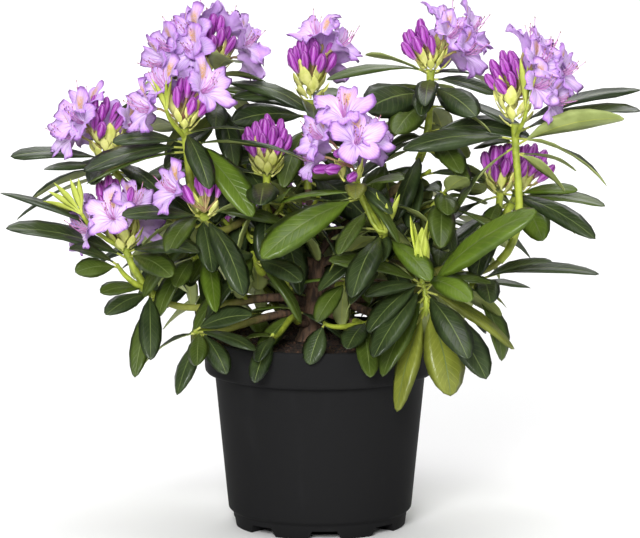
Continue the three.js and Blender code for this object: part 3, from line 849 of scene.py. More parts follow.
@dataclass
class Shrub:
    """The plant's growth: stems, leaves and flowers, by one rule."""

    trunk_foot: Point = (-8, 2, 183.7)
    trunk_lean: Point = (5, 4, 84)
    trunk_radii: Span = (11.5, 7)
    trunk_flare: float = 6
    flare_slope: float = 4
    bough_radii: Span = (4.6, 3.3)
    bough_leaving: Span = (0.65, 0.35)
    twig_radii: Span = (4.2, 3.5)
    twig_fork: float = 0.16
    twig_lift: float = 0.7
    twig_swell: float = 1.4
    swell_slope: float = 8
    stem_rings: int = 4
    stem_sides: int = 4
    finer_share: float = 0.8
    finer_turn: float = 68
    sprig_radii: Span = (2.4, 1.9)
    sprig_places: Row = (0.45, 0.66, 0.86)
    sprig_length: float = 34
    sprig_lengths: Span = (0.8, 1.2)
    sprig_along: float = 0.6
    sprig_lift: float = 0.25
    sprig_upturn: float = 0.6
    sprig_size: float = 0.9
    sprig_turn: float = 40
    sprig_leaves: int = 6
    tone_shares: tuple[tuple[float, Tone], ...] = (
        (0.56, Tone.DEEP), (0.86, Tone.GREEN), (0.95, Tone.FRESH))
    leaves: list[Leaf] = field(default_factory=list)
    flowers: list[Flower] = field(default_factory=list)
    limbs: dict[str, Growth] = field(default_factory=dict)
    sprigs: list[Growth] = field(default_factory=list)
    masses: tuple[Mass, ...] = MASSES
    clearing: Clearing = field(default_factory=Clearing)

    def grow(self) -> None:
        """Grows the whole plant, each stage over all masses."""
        foot = np.array(self.trunk_foot, float)
        self.limbs["trunk"] = Growth(foot, UP, foot + np.array(self.trunk_lean), UP)
        for name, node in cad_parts.items():
            if not name.startswith("foliage_"):
                self.clearing.claim(name, Solid.of_node(node))
        for index, mass in enumerate(self.masses):
            mass.key = MASS_KEYS * index
            self.lay_bough(mass)
            self.lay_twigs(mass)
        for stage in (self.grow_stems, self.grow_reach, self.grow_trusses, self.grow_whorls,
                      self.grow_finer, self.grow_sprigs, self.grow_shoots):
            for mass in self.masses:
                stage(mass)

    def lay_bough(self, mass: Mass) -> None:
        """Lays out a bough, arriving on the heading of the first twig.

        Args:
            mass: its mass.
        """
        limb = self.limbs[mass.limb]
        start = limb.at(mass.at)
        fork = np.array(mass.fork, float)
        to_fork = unit(fork - start)
        mass.heading = unit(unit(np.array(mass.twigs[0].tip) - fork) + to_fork)
        ahead, on = self.bough_leaving
        leaving = unit(to_fork * ahead + limb.tangent(mass.at) * on)
        self.limbs["bough_" + mass.name] = Growth(start, leaving, fork, mass.heading)

    def lay_twigs(self, mass: Mass) -> None:
        """Lays out twigs: the first goes on from the bough, the others leave it above the fork.

        Args:
            mass: their mass.
        """
        for twig in mass.twigs:
            first = twig is mass.twigs[0]
            bough_end = np.array(mass.fork) + mass.heading * CLEAR
            start = bough_end if first else mass.twigs[0].curve.at(self.twig_fork)
            tip = np.array(twig.tip, float)
            twig.axis = unit(unit(tip - start) + UP * self.twig_lift)
            twig.curve = Growth(start, mass.heading, tip, twig.axis)

    def limb_stem(self, name: str, count: int) -> Stem:
        """Gives the trunk or a bough as a stem.

        Args:
            name: the limb's name.
            count: number of points.

        Returns:
            The stem; the trunk flares at its foot.
        """
        shares = np.linspace(0, 1, count)
        if name == "trunk":
            flare = self.trunk_flare * np.maximum(0, 1 - self.flare_slope * shares) ** 2
            return Stem(self.limbs[name].path(count), lerp(*self.trunk_radii, shares) + flare)
        return Stem(self.limbs[name].path(count), lerp(*self.bough_radii, shares))

    def twig_stem(self, twig: Twig, count: int) -> Stem:
        """Gives a twig as a stem.

        Args:
            twig: the twig.
            count: number of points.

        Returns:
            The stem; it swells under a truss.
        """
        first, last = self.twig_radii
        shares = np.linspace(0, 1, count)
        radii = lerp(first, last if twig.truss else last / 2, shares)
        if twig.truss:
            swell = self.swell_slope * shares - (self.swell_slope - 1)
            radii = radii + self.twig_swell * np.maximum(0, swell)
        return Stem(twig.curve.path(count), radii)

    def sprig_stem(self, sprig: Growth, count: int) -> Stem:
        """Gives a finer side twig as a stem of a number of points."""
        return Stem(sprig.path(count), lerp(*self.sprig_radii, np.linspace(0, 1, count)))

    def grow_stems(self, mass: Mass) -> None:
        """Takes the places of the twigs.

        Args:
            mass: their mass.
        """
        for twig in mass.twigs:
            stem = self.twig_stem(twig, self.stem_rings)
            rings = []
            for i, point in enumerate(stem.path):
                across, over = frame_round(twig.curve.tangent(i / (self.stem_rings - 1)))
                rings.append(ring(point, across, over, stem.radii[i], self.stem_sides))
            self.clearing.claim(mass.name, Solid.loft(rings))

    def settle(self, mass: Mass, leaf: Leaf) -> None:
        """Adds a leaf, turned aside where its place is taken, or skips it.

        Args:
            mass: its mass.
            leaf: the leaf.
        """
        for aside in ASIDE:
            turned = leaf.turned(aside)
            blade = turned.solid(ROOM, LEAF.blade_from)
            if self.clearing.is_free(mass.name, turned.solid(ROOM), blade):
                self.clearing.claim(mass.name, turned.solid(), blade)
                self.leaves.append(turned)
                return

    def reach_from(self, mass: Mass, whorl: Whorl, tips: list[Reach]) -> None:
        """Grows the leaves of a whorl that reach given tips.

        Args:
            mass: their mass.
            whorl: the whorl.
            tips: the tips.
        """
        for i, tip in enumerate(tips):
            root = whorl.place((i + WHORL.reach_rank) / len(tips))
            leaf = Leaf.to_tip(root, np.array((tip.x, tip.y, tip.z), float), whorl.key + i)
            roll = leaf.roll if tip.roll is None else math.radians(tip.roll)
            self.settle(mass, replace(leaf, roll=roll, tone=tip.tone, width=leaf.width * tip.broad))

    def grow_reach(self, mass: Mass) -> None:
        """Grows the leaves that draw the outline.

        Args:
            mass: their mass.
        """
        for t, twig in enumerate(mass.twigs):
            whorl = Whorl(twig.curve, len(twig.reach) + twig.leaves, mass.keys(Series.REACH, t))
            self.reach_from(mass, whorl, twig.reach)
        crowd = len(mass.reach) + mass.base
        whorl = Whorl(mass.twigs[0].curve, crowd, mass.keys(Series.BASE_REACH), at_foot=True)
        self.reach_from(mass, whorl, mass.reach)

    def tone_of(self, key: int) -> Tone:
        """Deals a leaf its tone."""
        draw = noise(key, Trait.TONE)
        return next((tone for share, tone in self.tone_shares if draw < share), Tone.OLIVE)

    def fill_whorl(self, mass: Mass, whorl: Whorl, count: int, turn: float, size: float) -> None:
        """Fills a whorl by the golden angle, from the lowest leaf up.

        Args:
            mass: its mass.
            whorl: the whorl.
            count: number of leaves.
            turn: direction of the lowest leaf in degrees.
            size: usual length of the leaves.
        """
        for i in range(count):
            rank = (i + 0.5) / count
            azimuth = math.radians(turn + GOLDEN_ANGLE * i)
            leaf = Leaf.of_whorl(whorl.place(rank), rank, azimuth, size, whorl.key + i)
            self.settle(mass, replace(leaf, tone=self.tone_of(whorl.key + i)))

    def grow_whorls(self, mass: Mass) -> None:
        """Fills the whorls at the twigs' tips and at the first twig's foot.

        Args:
            mass: their mass.
        """
        for t, twig in enumerate(mass.twigs):
            whorl = Whorl(twig.curve, len(twig.reach) + twig.leaves, mass.keys(Series.WHORL, t))
            self.fill_whorl(mass, whorl, twig.leaves, twig.turn, mass.size)
        crowd = len(mass.reach) + mass.base
        whorl = Whorl(mass.twigs[0].curve, crowd, mass.keys(Series.BASE), at_foot=True)
        self.fill_whorl(mass, whorl, mass.base, mass.turn, mass.size)

    def grow_finer(self, mass: Mass) -> None:
        """Carries the whorls on to smaller leaves between the others.

        Args:
            mass: their mass.
        """
        for t, twig in enumerate(mass.twigs):
            crowd = len(twig.reach) + twig.leaves + mass.finer
            whorl = Whorl(twig.curve, crowd, mass.keys(Series.FINER, t))
            turn = twig.turn + self.finer_turn
            self.fill_whorl(mass, whorl, mass.finer, turn, mass.size * self.finer_share)

    def grow_sprigs(self, mass: Mass) -> None:
        """Carries a mass on to finer side twigs along its bough, each with a small whorl.

        Args:
            mass: the mass.
        """
        bough = self.limbs["bough_" + mass.name]
        size = min(mass.size, LEAF_LENGTH * self.sprig_size) * self.finer_share
        for i, at in enumerate(self.sprig_places[:mass.sprigs]):
            key = mass.keys(Series.SPRIG) + SPRIG_KEYS * i
            start, along = bough.at(at), bough.tangent(at)
            across, over = frame_round(along)
            turn = math.radians(mass.turn + GOLDEN_ANGLE * (i + 1))
            heading = unit(along * self.sprig_along + across * math.cos(turn) + over * math.sin(turn)
                           + UP * self.sprig_lift)
            length = self.sprig_length * between(self.sprig_lengths, key, Trait.LENGTH)
            arrival = unit(heading + UP * self.sprig_upturn)
            sprig = Growth(start, heading, start + heading * length, arrival)
            before = len(self.leaves)
            whorl = Whorl(sprig, self.sprig_leaves, key)
            self.fill_whorl(mass, whorl, self.sprig_leaves, mass.turn + self.sprig_turn * i, size)
            if len(self.leaves) > before:
                self.sprigs.append(sprig)

    def grow_trusses(self, mass: Mass) -> None:
        """Grows the trusses at the tips of a mass's twigs.

        Args:
            mass: the mass.
        """
        for t, twig in enumerate(mass.twigs):
            if twig.truss:
                self.grow_truss(mass, twig, mass.keys(Series.TRUSS, t))

    def grow_truss(self, mass: Mass, twig: Twig, key: int) -> None:
        """Grows one truss: flowers and buds round the rachis, and the scales under them.

        Args:
            mass: its mass.
            twig: the twig that it ends.
            key: its first key.
        """
        truss = twig.truss
        self.claim_cup(mass, twig)
        upright = UP if truss.blooms else twig.axis
        first = len(self.flowers)
        for k, bloom in enumerate(truss.blooms or self.ruled_blooms(truss)):
            self.settle_flower(mass, self.flower(twig, upright, bloom, 0, key + k, True))
        stalks = [unit(flower.seat - flower.root) for flower in self.flowers[first:]]
        for k in range(truss.buds):
            polar = lerp(*TRUSS.bud_polar, ((k + 0.5) / truss.buds) ** TRUSS.bud_crowding)
            place = Bloom(truss.turn + GOLDEN_ANGLE * k, polar, nod=TRUSS.bud_nod * polar)
            bud_key = key + TRUSS.bud_keys + k
            bud = self.flower(twig, self.bud_axis(twig), place, truss.lean[2], bud_key, False)
            way = unit(bud.seat - bud.root)
            if all(float(way @ stalk) < TRUSS.apart for stalk in stalks):
                self.settle_flower(mass, bud)
        self.grow_bracts(twig, key)

    def claim_cup(self, mass: Mass, twig: Twig) -> None:
        """Takes the place of the cup of scales under a truss.

        Args:
            mass: its mass.
            twig: the truss's twig.
        """
        tip = np.array(twig.tip, float)
        across, over = frame_round(twig.axis)
        cup_radius = TRUSS.cup_radius * lerp(1, TRUSS.cup_open, twig.truss.open)
        top = tip + twig.axis * (TRUSS.cup_height + twig.truss.rise)
        cup = Solid.loft([
            ring(tip - twig.axis * TRUSS.cup_sink, across, over, self.twig_radii[1], TRUSS.sides),
            ring(top, across, over, cup_radius, TRUSS.sides),
        ])
        self.clearing.claim(mass.name, cup, cup)

    def ruled_blooms(self, truss: Truss) -> list[Bloom]:
        """Deals the flowers of a truss by the golden angle.

        Args:
            truss: the truss.

        Returns:
            Those that are open.
        """
        blooms = []
        for k in range(TRUSS.count):
            azimuth = truss.turn + GOLDEN_ANGLE * k
            if math.cos(math.radians(azimuth - truss.faces)) > 1 - 2 * truss.open:
                polar = lerp(*TRUSS.polar, ((k + 0.5) / TRUSS.count) ** TRUSS.crowding)
                blooms.append(Bloom(azimuth, polar))
        return blooms

    def bud_axis(self, twig: Twig) -> Vec:
        """Gives the way that the buds of a truss point.

        Args:
            twig: the truss's twig.

        Returns:
            A unit vector.
        """
        azimuth, polar = (math.radians(angle) for angle in twig.truss.lean[:2])
        out = math.sin(polar)
        lean = np.array((out * math.cos(azimuth), out * math.sin(azimuth), math.cos(polar)))
        return lean if twig.truss.blooms else twig.axis

    def flower(self, twig: Twig, upright: Vec, bloom: Bloom, raised: float, key: int,
               is_open: bool) -> Flower:
        """Gives one flower of a truss.

        Args:
            twig: the truss's twig.
            upright: the axis that the angles go by.
            bloom: its place in the truss.
            raised: how much higher it roots than the rule says.
            key: names its noise.
            is_open: False for a bud.

        Returns:
            The flower, rooted on the rachis.
        """
        angles = (bloom.azimuth, bloom.polar, bloom.polar + bloom.nod)
        turn, tilt, face = (math.radians(angle) for angle in angles)
        across, over = frame_round(upright)
        outward = across * math.cos(turn) + over * math.sin(turn)
        stalk = upright * math.cos(tilt) + outward * math.sin(tilt)
        axis = upright * math.cos(face) + outward * math.sin(face)
        rise = twig.truss.rise + TRUSS.rachis * (1 - bloom.polar / TRUSS.level) + raised
        root = np.array(twig.tip) + twig.axis * rise
        size = between(TRUSS.sizes, key, Trait.FLOWER_SIZE)
        seat = root + stalk * ((TRUSS.stalk if is_open else TRUSS.bud_stalk) * size + bloom.stretch)
        high = upright - outward * TRUSS.backward
        return Flower(root, seat, axis, unit(high - axis * float(high @ axis)), size, key, is_open)

    def settle_flower(self, mass: Mass, flower: Flower) -> None:
        """Adds a flower or a bud if its place is free of other masses.

        Args:
            mass: its mass.
            flower: the flower.
        """
        across, over = frame_round(flower.axis)
        if flower.open:
            lip = flower.seat + flower.axis * TRUSS.depth * flower.size
            widest = ring(lip, across, over, TRUSS.radius * flower.size, TRUSS.sides)
            end = (flower.seat + lip) / 2
        else:
            length = TRUSS.bud_length * flower.size
            belly = flower.seat + flower.axis * length * TRUSS.bud_belly
            widest = ring(belly, across, over, TRUSS.bud_radius, TRUSS.bud_sides)
            end = flower.seat + flower.axis * length
        solid = Solid.loft([flower.root[None], widest, end[None]])
        if self.clearing.is_free(mass.name, solid, None):
            self.clearing.claim(mass.name, solid, solid)
            self.flowers.append(flower)

    def grow_bracts(self, twig: Twig, key: int) -> None:
        """Grows the pale scales under a truss; a truss in bud keeps more of them.

        Args:
            twig: the truss's twig.
            key: the first scale's key.
        """
        truss = twig.truss
        lean = self.bud_axis(twig)
        for i in range(truss.buds):
            rank = (i + 0.5) / truss.buds
            azimuth = math.radians(truss.turn + GOLDEN_ANGLE * i)
            out = np.array((math.cos(azimuth), math.sin(azimuth), 0.0))
            height = (truss.rise + BRACT.climb) * rank - BRACT.sink
            length = lerp(*BRACT.length, rank) * between(BRACT.lengths, key + i, Trait.BRACT_LENGTH)
            pitch = lerp(*BRACT.pitch, rank) + sway(BRACT.jitter, key + i, Trait.BRACT_PITCH)
            self.leaves.append(Leaf(
                root=np.array(twig.tip) + lean * height + out * lerp(*BRACT.out, rank),
                azimuth=azimuth,
                pitch=math.radians(pitch),
                bend=math.radians(BRACT.bend),
                roll=0,
                length=length,
                width=length * BRACT.width_share,
                key=key + i,
                tone=Tone.BRACT,
            ))

    def grow_shoots(self, mass: Mass) -> None:
        """Grows the young shoots of a mass.

        Args:
            mass: the mass.
        """
        for t, twig in enumerate(mass.twigs):
            if twig.shoot:
                self.grow_shoot(twig, twig.shoot, mass.keys(Series.SHOOT, t))

    def grow_shoot(self, twig: Twig, shoot: Shoot, key: int) -> None:
        """Grows one young shoot: a thin stem, and a fan of narrow leaves.

        Args:
            twig: the twig that it leaves.
            shoot: the shoot.
            key: the first leaf's key.
        """
        base = np.array(shoot.base, float)
        start = twig.curve.at(SHOOT.leaves_twig)
        self.sprigs.append(Growth(start, unit(base - start), base, unit(unit(base - start) + UP)))
        for i in range(shoot.count):
            place = i - (shoot.count - 1) / 2
            pitch = shoot.pitch + shoot.fan[1] * place + sway(SHOOT.jitter, key + i, Trait.PITCH)
            length = shoot.length * between(SHOOT.lengths, key + i, Trait.LENGTH)
            self.leaves.append(Leaf(
                root=base,
                azimuth=math.radians(shoot.faces + shoot.fan[0] * place),
                pitch=math.radians(pitch),
                bend=max(SHOOT.least_bend, SHOOT.bend * math.cos(math.radians(pitch))),
                roll=math.radians(shoot.roll),
                length=length,
                width=length * shoot.width,
                key=key + i,
                tone=Tone.SHOOT,
            ))


@dataclass(frozen=True)
class Term:
    """A socket of a node tree that takes part in sums."""

    tree: "NodeTree"
    socket: NodeSocket

    def maths(self, operation: str, *others: "Term | float", first: "Term | float | None" = None) -> "Term":
        """Adds a Math node.

        Args:
            operation: the node's operation.
            others: the inputs after the first.
            first: the first input, if it isn't this term.

        Returns:
            The result.
        """
        inputs = (self if first is None else first, *others)
        return self.tree.term("ShaderNodeMath", dict(enumerate(inputs)), operation=operation)

    def __add__(self, other: "Term | float") -> "Term":
        """Adds."""
        return self.maths("ADD", other)

    __radd__ = __add__

    def __sub__(self, other: "Term | float") -> "Term":
        """Subtracts."""
        return self.maths("SUBTRACT", other)

    def __rsub__(self, other: float) -> "Term":
        """Subtracts from a number."""
        return self.maths("SUBTRACT", self, first=other)

    def __mul__(self, other: "Term | float") -> "Term":
        """Multiplies."""
        return self.maths("MULTIPLY", other)

    __rmul__ = __mul__

    def absolute(self) -> "Term":
        """Drops the sign."""
        return self.maths("ABSOLUTE")

    def off_middle(self) -> "Term":
        """Gives how far what is after the point lies from a half."""
        return (self.maths("FRACT") - 0.5).absolute()

    def rise(self, low: float, high: float) -> "Term":
        """Goes smoothly from 0 at low to 1 at high."""
        inputs = {"Value": self, "From Min": low, "From Max": high}
        return self.tree.term("ShaderNodeMapRange", inputs, interpolation_type="SMOOTHSTEP")

    def fall(self, low: float, high: float) -> "Term":
        """Goes smoothly from 1 at low to 0 at high."""
        return 1 - self.rise(low, high)


class NodeTree:
    """A node tree that is built node by node."""

    def __init__(self, tree: bpy.types.NodeTree) -> None:
        """Takes the tree."""
        self.tree = tree

    def put(self, socket: NodeSocket, value: object) -> None:
        """Links something to a socket, or sets the socket's value.

        Args:
            socket: the socket.
            value: a term, another node's socket or a plain value.
        """
        if isinstance(value, Term):
            self.tree.links.new(value.socket, socket)
        elif isinstance(value, NodeSocket):
            self.tree.links.new(value, socket)
        elif isinstance(value, tuple) and socket.type == "RGBA":
            socket.default_value = (*value, 1.0)
        else:
            socket.default_value = value

    def node(self, kind: str, inputs: Inputs | None = None, **settings: object) -> Node:
        """Adds a node.

        Args:
            kind: the node's type.
            inputs: values, terms or sockets by socket name or index.
            settings: properties, set first.

        Returns:
            The node.
        """
        node = self.tree.nodes.new(kind)
        for name, value in settings.items():
            setattr(node, name, value)
        for key, value in (inputs or {}).items():
            self.put(node.inputs[key], value)
        return node

    def term(self, kind: str, inputs: Inputs | None = None, output: str | int = 0,
             **settings: object) -> Term:
        """Adds a node and gives one of its outputs as a term."""
        return Term(self, self.node(kind, inputs, **settings).outputs[output])


class Shader(NodeTree):
    """One material and the tree behind it."""

    def __init__(self, name: str) -> None:
        """Starts a material with its surface node.

        Args:
            name: the material's name.
        """
        self.material = bpy.data.materials.new(name)
        self.material.use_nodes = True
        super().__init__(self.material.node_tree)
        self.surface = self.tree.nodes["Principled BSDF"]

    def finish(self, **inputs: object) -> Material:
        """Sets inputs of the surface.

        Args:
            inputs: values or terms by socket name, with underscores.

        Returns:
            The material.
        """
        for name, value in inputs.items():
            self.put(self.surface.inputs[name.replace("_", " ").title().replace("Ior", "IOR")], value)
        return self.material

    def place(self, stretch: Point = (1, 1, 1)) -> Term:
        """Gives the object's own coordinates, stretched."""
        source = self.term("ShaderNodeTexCoord", output="Object")
        return self.term("ShaderNodeVectorMath", {0: source, 1: stretch}, operation="MULTIPLY")

    def reach(self) -> Term:
        """Gives the distance from the object's upright axis."""
        return self.term("ShaderNodeVectorMath", {0: self.place((1, 1, 0))}, "Value", operation="LENGTH")

    def grain(self, scale: float, detail: float = 3, stretch: Point = (1, 1, 1)) -> Term:
        """Gives noise from 0 to 1 over the object."""
        inputs = {"Vector": self.place(stretch), "Scale": scale, "Detail": detail}
        return self.term("ShaderNodeTexNoise", inputs)

    def chart(self) -> tuple[Term, Term]:
        """Gives the two coordinates of the piece's own chart."""
        split = self.node("ShaderNodeSeparateXYZ", {0: self.term("ShaderNodeUVMap", uv_map="Chart")})
        return Term(self, split.outputs[0]), Term(self, split.outputs[1])

    def mix(self, share: Term | float, first: Term | Colour, second: Term | Colour) -> Term:
        """Mixes two colours."""
        return self.term("ShaderNodeMix", {0: share, 6: first, 7: second}, 2, data_type="RGBA")

    def bump(self, height: Term, strength: float, distance: float) -> Term:
        """Turns a height into a normal."""
        inputs = {"Height": height, "Strength": strength, "Distance": distance}
        return self.term("ShaderNodeBump", inputs)


@dataclass(frozen=True)
class MottledFinish:
    """A colour that varies softly over the piece."""

    name: str
    light: Colour
    dark: Colour
    roughness: float
    scale: float = 60
    relief: float = 0
    fine: float = 900
    specular: float = 0.5

    def make(self) -> Material:
        """Builds the material.

        Returns:
            The material.
        """
        shader = Shader(self.name)
        grain = shader.grain(self.scale)
        shader.finish(
            base_color=shader.mix(grain.rise(0.3, 0.7), self.dark, self.light),
            roughness=self.roughness + 0.12 * (grain - 0.5),
            specular_ior_level=self.specular,
        )
        if self.relief:
            shader.finish(normal=shader.bump(shader.grain(self.fine, 2), 0.4, self.relief))
        return shader.material


@dataclass(frozen=True)
class LeafFinish:
    """The glossy top of a leaf: lighter along its side veins."""

    name: str
    light: Colour
    dark: Colour
    vein: Colour
    roughness: float = 0.31
    veins: float = 13
    slant: float = 2.6

    def make(self) -> Material:
        """Builds the material.

        Returns:
            The material.
        """
        shader = Shader(self.name)
        along, across = shader.chart()
        side = (across - 0.5).absolute() * 2
        wave = (along * self.veins - side * self.slant).off_middle()
        vein = wave.fall(0.0, 0.16) * side.fall(0.55, 1.0)
        grain = shader.grain(34)
        body = shader.mix(grain.rise(0.32, 0.68), self.dark, self.light)
        return shader.finish(
            base_color=shader.mix(vein * 0.3, body, self.vein),
            roughness=self.roughness + 0.14 * (grain - 0.5),
            specular_ior_level=0.36,
            normal=shader.bump(1 - vein, 0.3, 0.0004),
        )


@dataclass(frozen=True)
class PetalFinish:
    """A petal: pale throat, lilac limb, deeper margin, and a speckled flare on the upper lobe; a faint
    painted glow stands in for light shining through the petal.
    """

    name: str
    throat: Colour
    limb: Colour
    margin: Colour
    flare: Colour = (0.6, 0.34, 0.09)
    lobes: float = 5
    rays: float = 15
    veins: float = 55
    roughness: float = 0.62
    # Strength of the painted glow: the petal gives off its own colour as light, standing in for light
    # through the petal that lifts its shaded side.
    painted_glow: float = 0.04

    def make(self) -> Material:
        """Builds the material.

        Returns:
            The material.
        """
        shader = Shader(self.name)
        turn, out = shader.chart()
        across = (turn * self.lobes).off_middle() * 2
        streak = across.fall(0.0, 0.6) * out.fall(0.6, 1.0)
        body = shader.mix(out.rise(0.4, 0.8), self.throat, self.limb)
        body = shader.mix(streak * 0.5, body, self.throat)
        body = shader.mix(out.rise(0.8, 1.0) * 0.7, body, self.margin)
        vein = (turn * self.veins).off_middle().fall(0.05, 0.3) * out.rise(0.35, 0.6)
        body = shader.mix(vein * 0.26, body, self.margin)
        ray = (turn * self.rays).off_middle().fall(0.06, 0.24) * out.rise(0.14, 0.26) * out.fall(0.4, 0.66)
        body = shader.mix(ray * 0.6, body, self.margin)
        speckle = shader.grain(700, 2).rise(0.46, 0.56)
        upper = turn.fall(0.19, 0.2) * across.fall(0.2, 0.62)
        flare = upper * out.rise(0.34, 0.44) * out.fall(0.6, 0.84) * (0.6 + 0.4 * speckle)
        body = shader.mix(flare * 0.95, body, self.flare)
        return shader.finish(
            base_color=body,
            roughness=self.roughness,
            specular_ior_level=0.25,
            # Painted glow: the petal's colour is given off as light, standing in for light shining through
            # it.
            emission_color=body,
            emission_strength=self.painted_glow,
            normal=shader.bump(vein, 0.2, 0.0004),
        )


@dataclass(frozen=True)
class BudFinish:
    """A closed bud: deep at its tip, paler at its foot, with painted shade in stripes along its folds and
    painted highlight in the bands between them.
    """

    name: str
    foot: Colour
    body: Colour
    tip: Colour
    folds: float = 5
    roughness: float = 0.48

    def make(self) -> Material:
        """Builds the material.

        Returns:
            The material.
        """
        shader = Shader(self.name)
        turn, along = shader.chart()
        fold = (turn * self.folds + along * 0.6).off_middle()
        body = shader.mix(along.rise(0.02, 0.35), self.foot, self.body)
        body = shader.mix(along.rise(0.45, 1.0) * 0.6, body, self.tip)
        # Painted shade: stripes along the folds are darkened towards the tip colour.
        body = shader.mix(fold.fall(0.0, 0.2) * 0.85, body, self.tip)
        return shader.finish(
            # Painted highlight: the bands between the folds are lightened towards the foot colour.
            base_color=shader.mix(fold.rise(0.3, 0.5) * 0.4, body, self.foot),
            roughness=self.roughness,
            specular_ior_level=0.35,
        )


@dataclass(frozen=True)
class BarkFinish:
    """Brown bark, split along the stem, that turns green away from the trunk."""

    name: str
    ridge: Colour
    furrow: Colour
    young: Colour
    green_from: Span = (0.055, 0.115)
    roughness: float = 0.85

    def make(self) -> Material:
        """Builds the material.

        Returns:
            The material.
        """
        shader = Shader(self.name)
        grain = shader.grain(260, 5, (1, 1, 0.25))
        patch = shader.grain(40, 2)
        body = shader.mix(grain.rise(0.34, 0.62), self.furrow, self.ridge)
        body = shader.mix(patch.rise(0.45, 0.75) * 0.4, body, self.furrow)
        young = shader.reach().rise(*self.green_from)
        return shader.finish(
            base_color=shader.mix(young * (0.6 + 0.4 * grain), body, self.young),
            roughness=self.roughness - 0.3 * young,
            normal=shader.bump(grain * (1.1 - young), 0.6, 0.0012),
        )


@dataclass(frozen=True)
class PlasticFinish:
    """Black moulded plastic with a faint grain and scuffs."""

    name: str
    base: Colour
    scuff: Colour
    roughness: float = 0.55

    def make(self) -> Material:
        """Builds the material.

        Returns:
            The material.
        """
        shader = Shader(self.name)
        haze = shader.grain(9, 3)
        scuff = shader.grain(46, 6, (1, 1, 0.3)).rise(0.55, 0.8)
        return shader.finish(
            base_color=shader.mix(scuff * 0.5, self.base, self.scuff),
            roughness=self.roughness + 0.12 * (haze - 0.5) + 0.08 * scuff,
            specular_ior_level=0.02,
            normal=shader.bump(shader.grain(1500, 2), 0.08, 0.0002),
        )


@dataclass(frozen=True)
class PeatFinish:
    """Damp dark peat with paler flecks."""

    name: str
    light: Colour
    dark: Colour
    roughness: float = 0.95

    def make(self) -> Material:
        """Builds the material.

        Returns:
            The material.
        """
        shader = Shader(self.name)
        lump = shader.grain(170, 6)
        fleck = shader.grain(620, 3)
        body = shader.mix(lump.rise(0.36, 0.66), self.dark, self.light)
        return shader.finish(
            base_color=shader.mix(fleck.rise(0.62, 0.72) * 0.5, body, self.light),
            roughness=self.roughness,
            normal=shader.bump(lump + fleck * 0.4, 0.8, 0.002),
        )


def link(thing: Object) -> Object:
    """Puts an object into the scene."""
    bpy.context.scene.collection.objects.link(thing)
    return thing


def evaluated(thing: Object, name: str) -> Object:
    """Replaces an object by the plain mesh that its modifiers make.

    Args:
        thing: the object; it is removed.
        name: the new object's name.

    Returns:
        The new object.
    """
    depsgraph = bpy.context.evaluated_depsgraph_get()
    mesh = bpy.data.meshes.new_from_object(thing.evaluated_get(depsgraph), depsgraph=depsgraph)
    thing.modifiers.clear()
    bpy.data.objects.remove(thing)
    mesh.name = name
    return link(bpy.data.objects.new(name, mesh))


def take(thing: Object, slot: str, *nodes: str) -> None:
    """Adds a piece to the part.

    Args:
        thing: the piece.
        slot: the record's material slot; not used.
        nodes: the solids that it stands for.
    """
    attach(thing, "root")
    if nodes:
        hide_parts(*nodes)
    triangles = sum(len(face.vertices) - 2 for face in thing.data.polygons)
    LOG.info("%s: %d triangles", thing.name, triangles)


class MeshParts:
    """Collects points, faces and charts of one joined mesh."""

    def __init__(self) -> None:
        """Starts empty."""
        self.points: list[Vec] = []
        self.faces: list[Face] = []
        self.slots: list[int] = []
        self.charts: list[Vec] = []
        self.count = 0

    def add(self, points: Vec, faces: list[Face], slots: list[int] | None = None,
            chart: Vec | None = None) -> None:
        """Adds one shape.

        Args:
            points: its points in millimetres.
            faces: tuples of indices into them.
            slots: a material slot for each face, if not the first for all.
            chart: two chart coordinates for each point, if it has a chart.
        """
        self.points.append(points)
        self.charts.append(np.zeros((len(points), 2)) if chart is None else chart)
        self.faces += [tuple(v + self.count for v in face) for face in faces]
        self.slots += slots or [0] * len(faces)
        self.count += len(points)

    def mesh(self, name: str, *finishes: Material) -> Object:
        """Makes the joined mesh.

        Args:
            name: the object's name.
            finishes: its materials in slot order.

        Returns:
            The smooth object.
        """
        mesh = bpy.data.meshes.new(name)
        mesh.from_pydata((np.vstack(self.points) * MM).tolist(), [], self.faces)
        for material in finishes:
            mesh.materials.append(material)
        mesh.polygons.foreach_set("material_index", self.slots)
        mesh.polygons.foreach_set("use_smooth", [True] * len(self.faces))
        corners = np.array([v for face in self.faces for v in face])
        chart = mesh.uv_layers.new(name="Chart")
        chart.data.foreach_set("uv", np.vstack(self.charts)[corners].astype(np.float32).ravel())
        mesh.update()
        return link(bpy.data.objects.new(name, mesh))


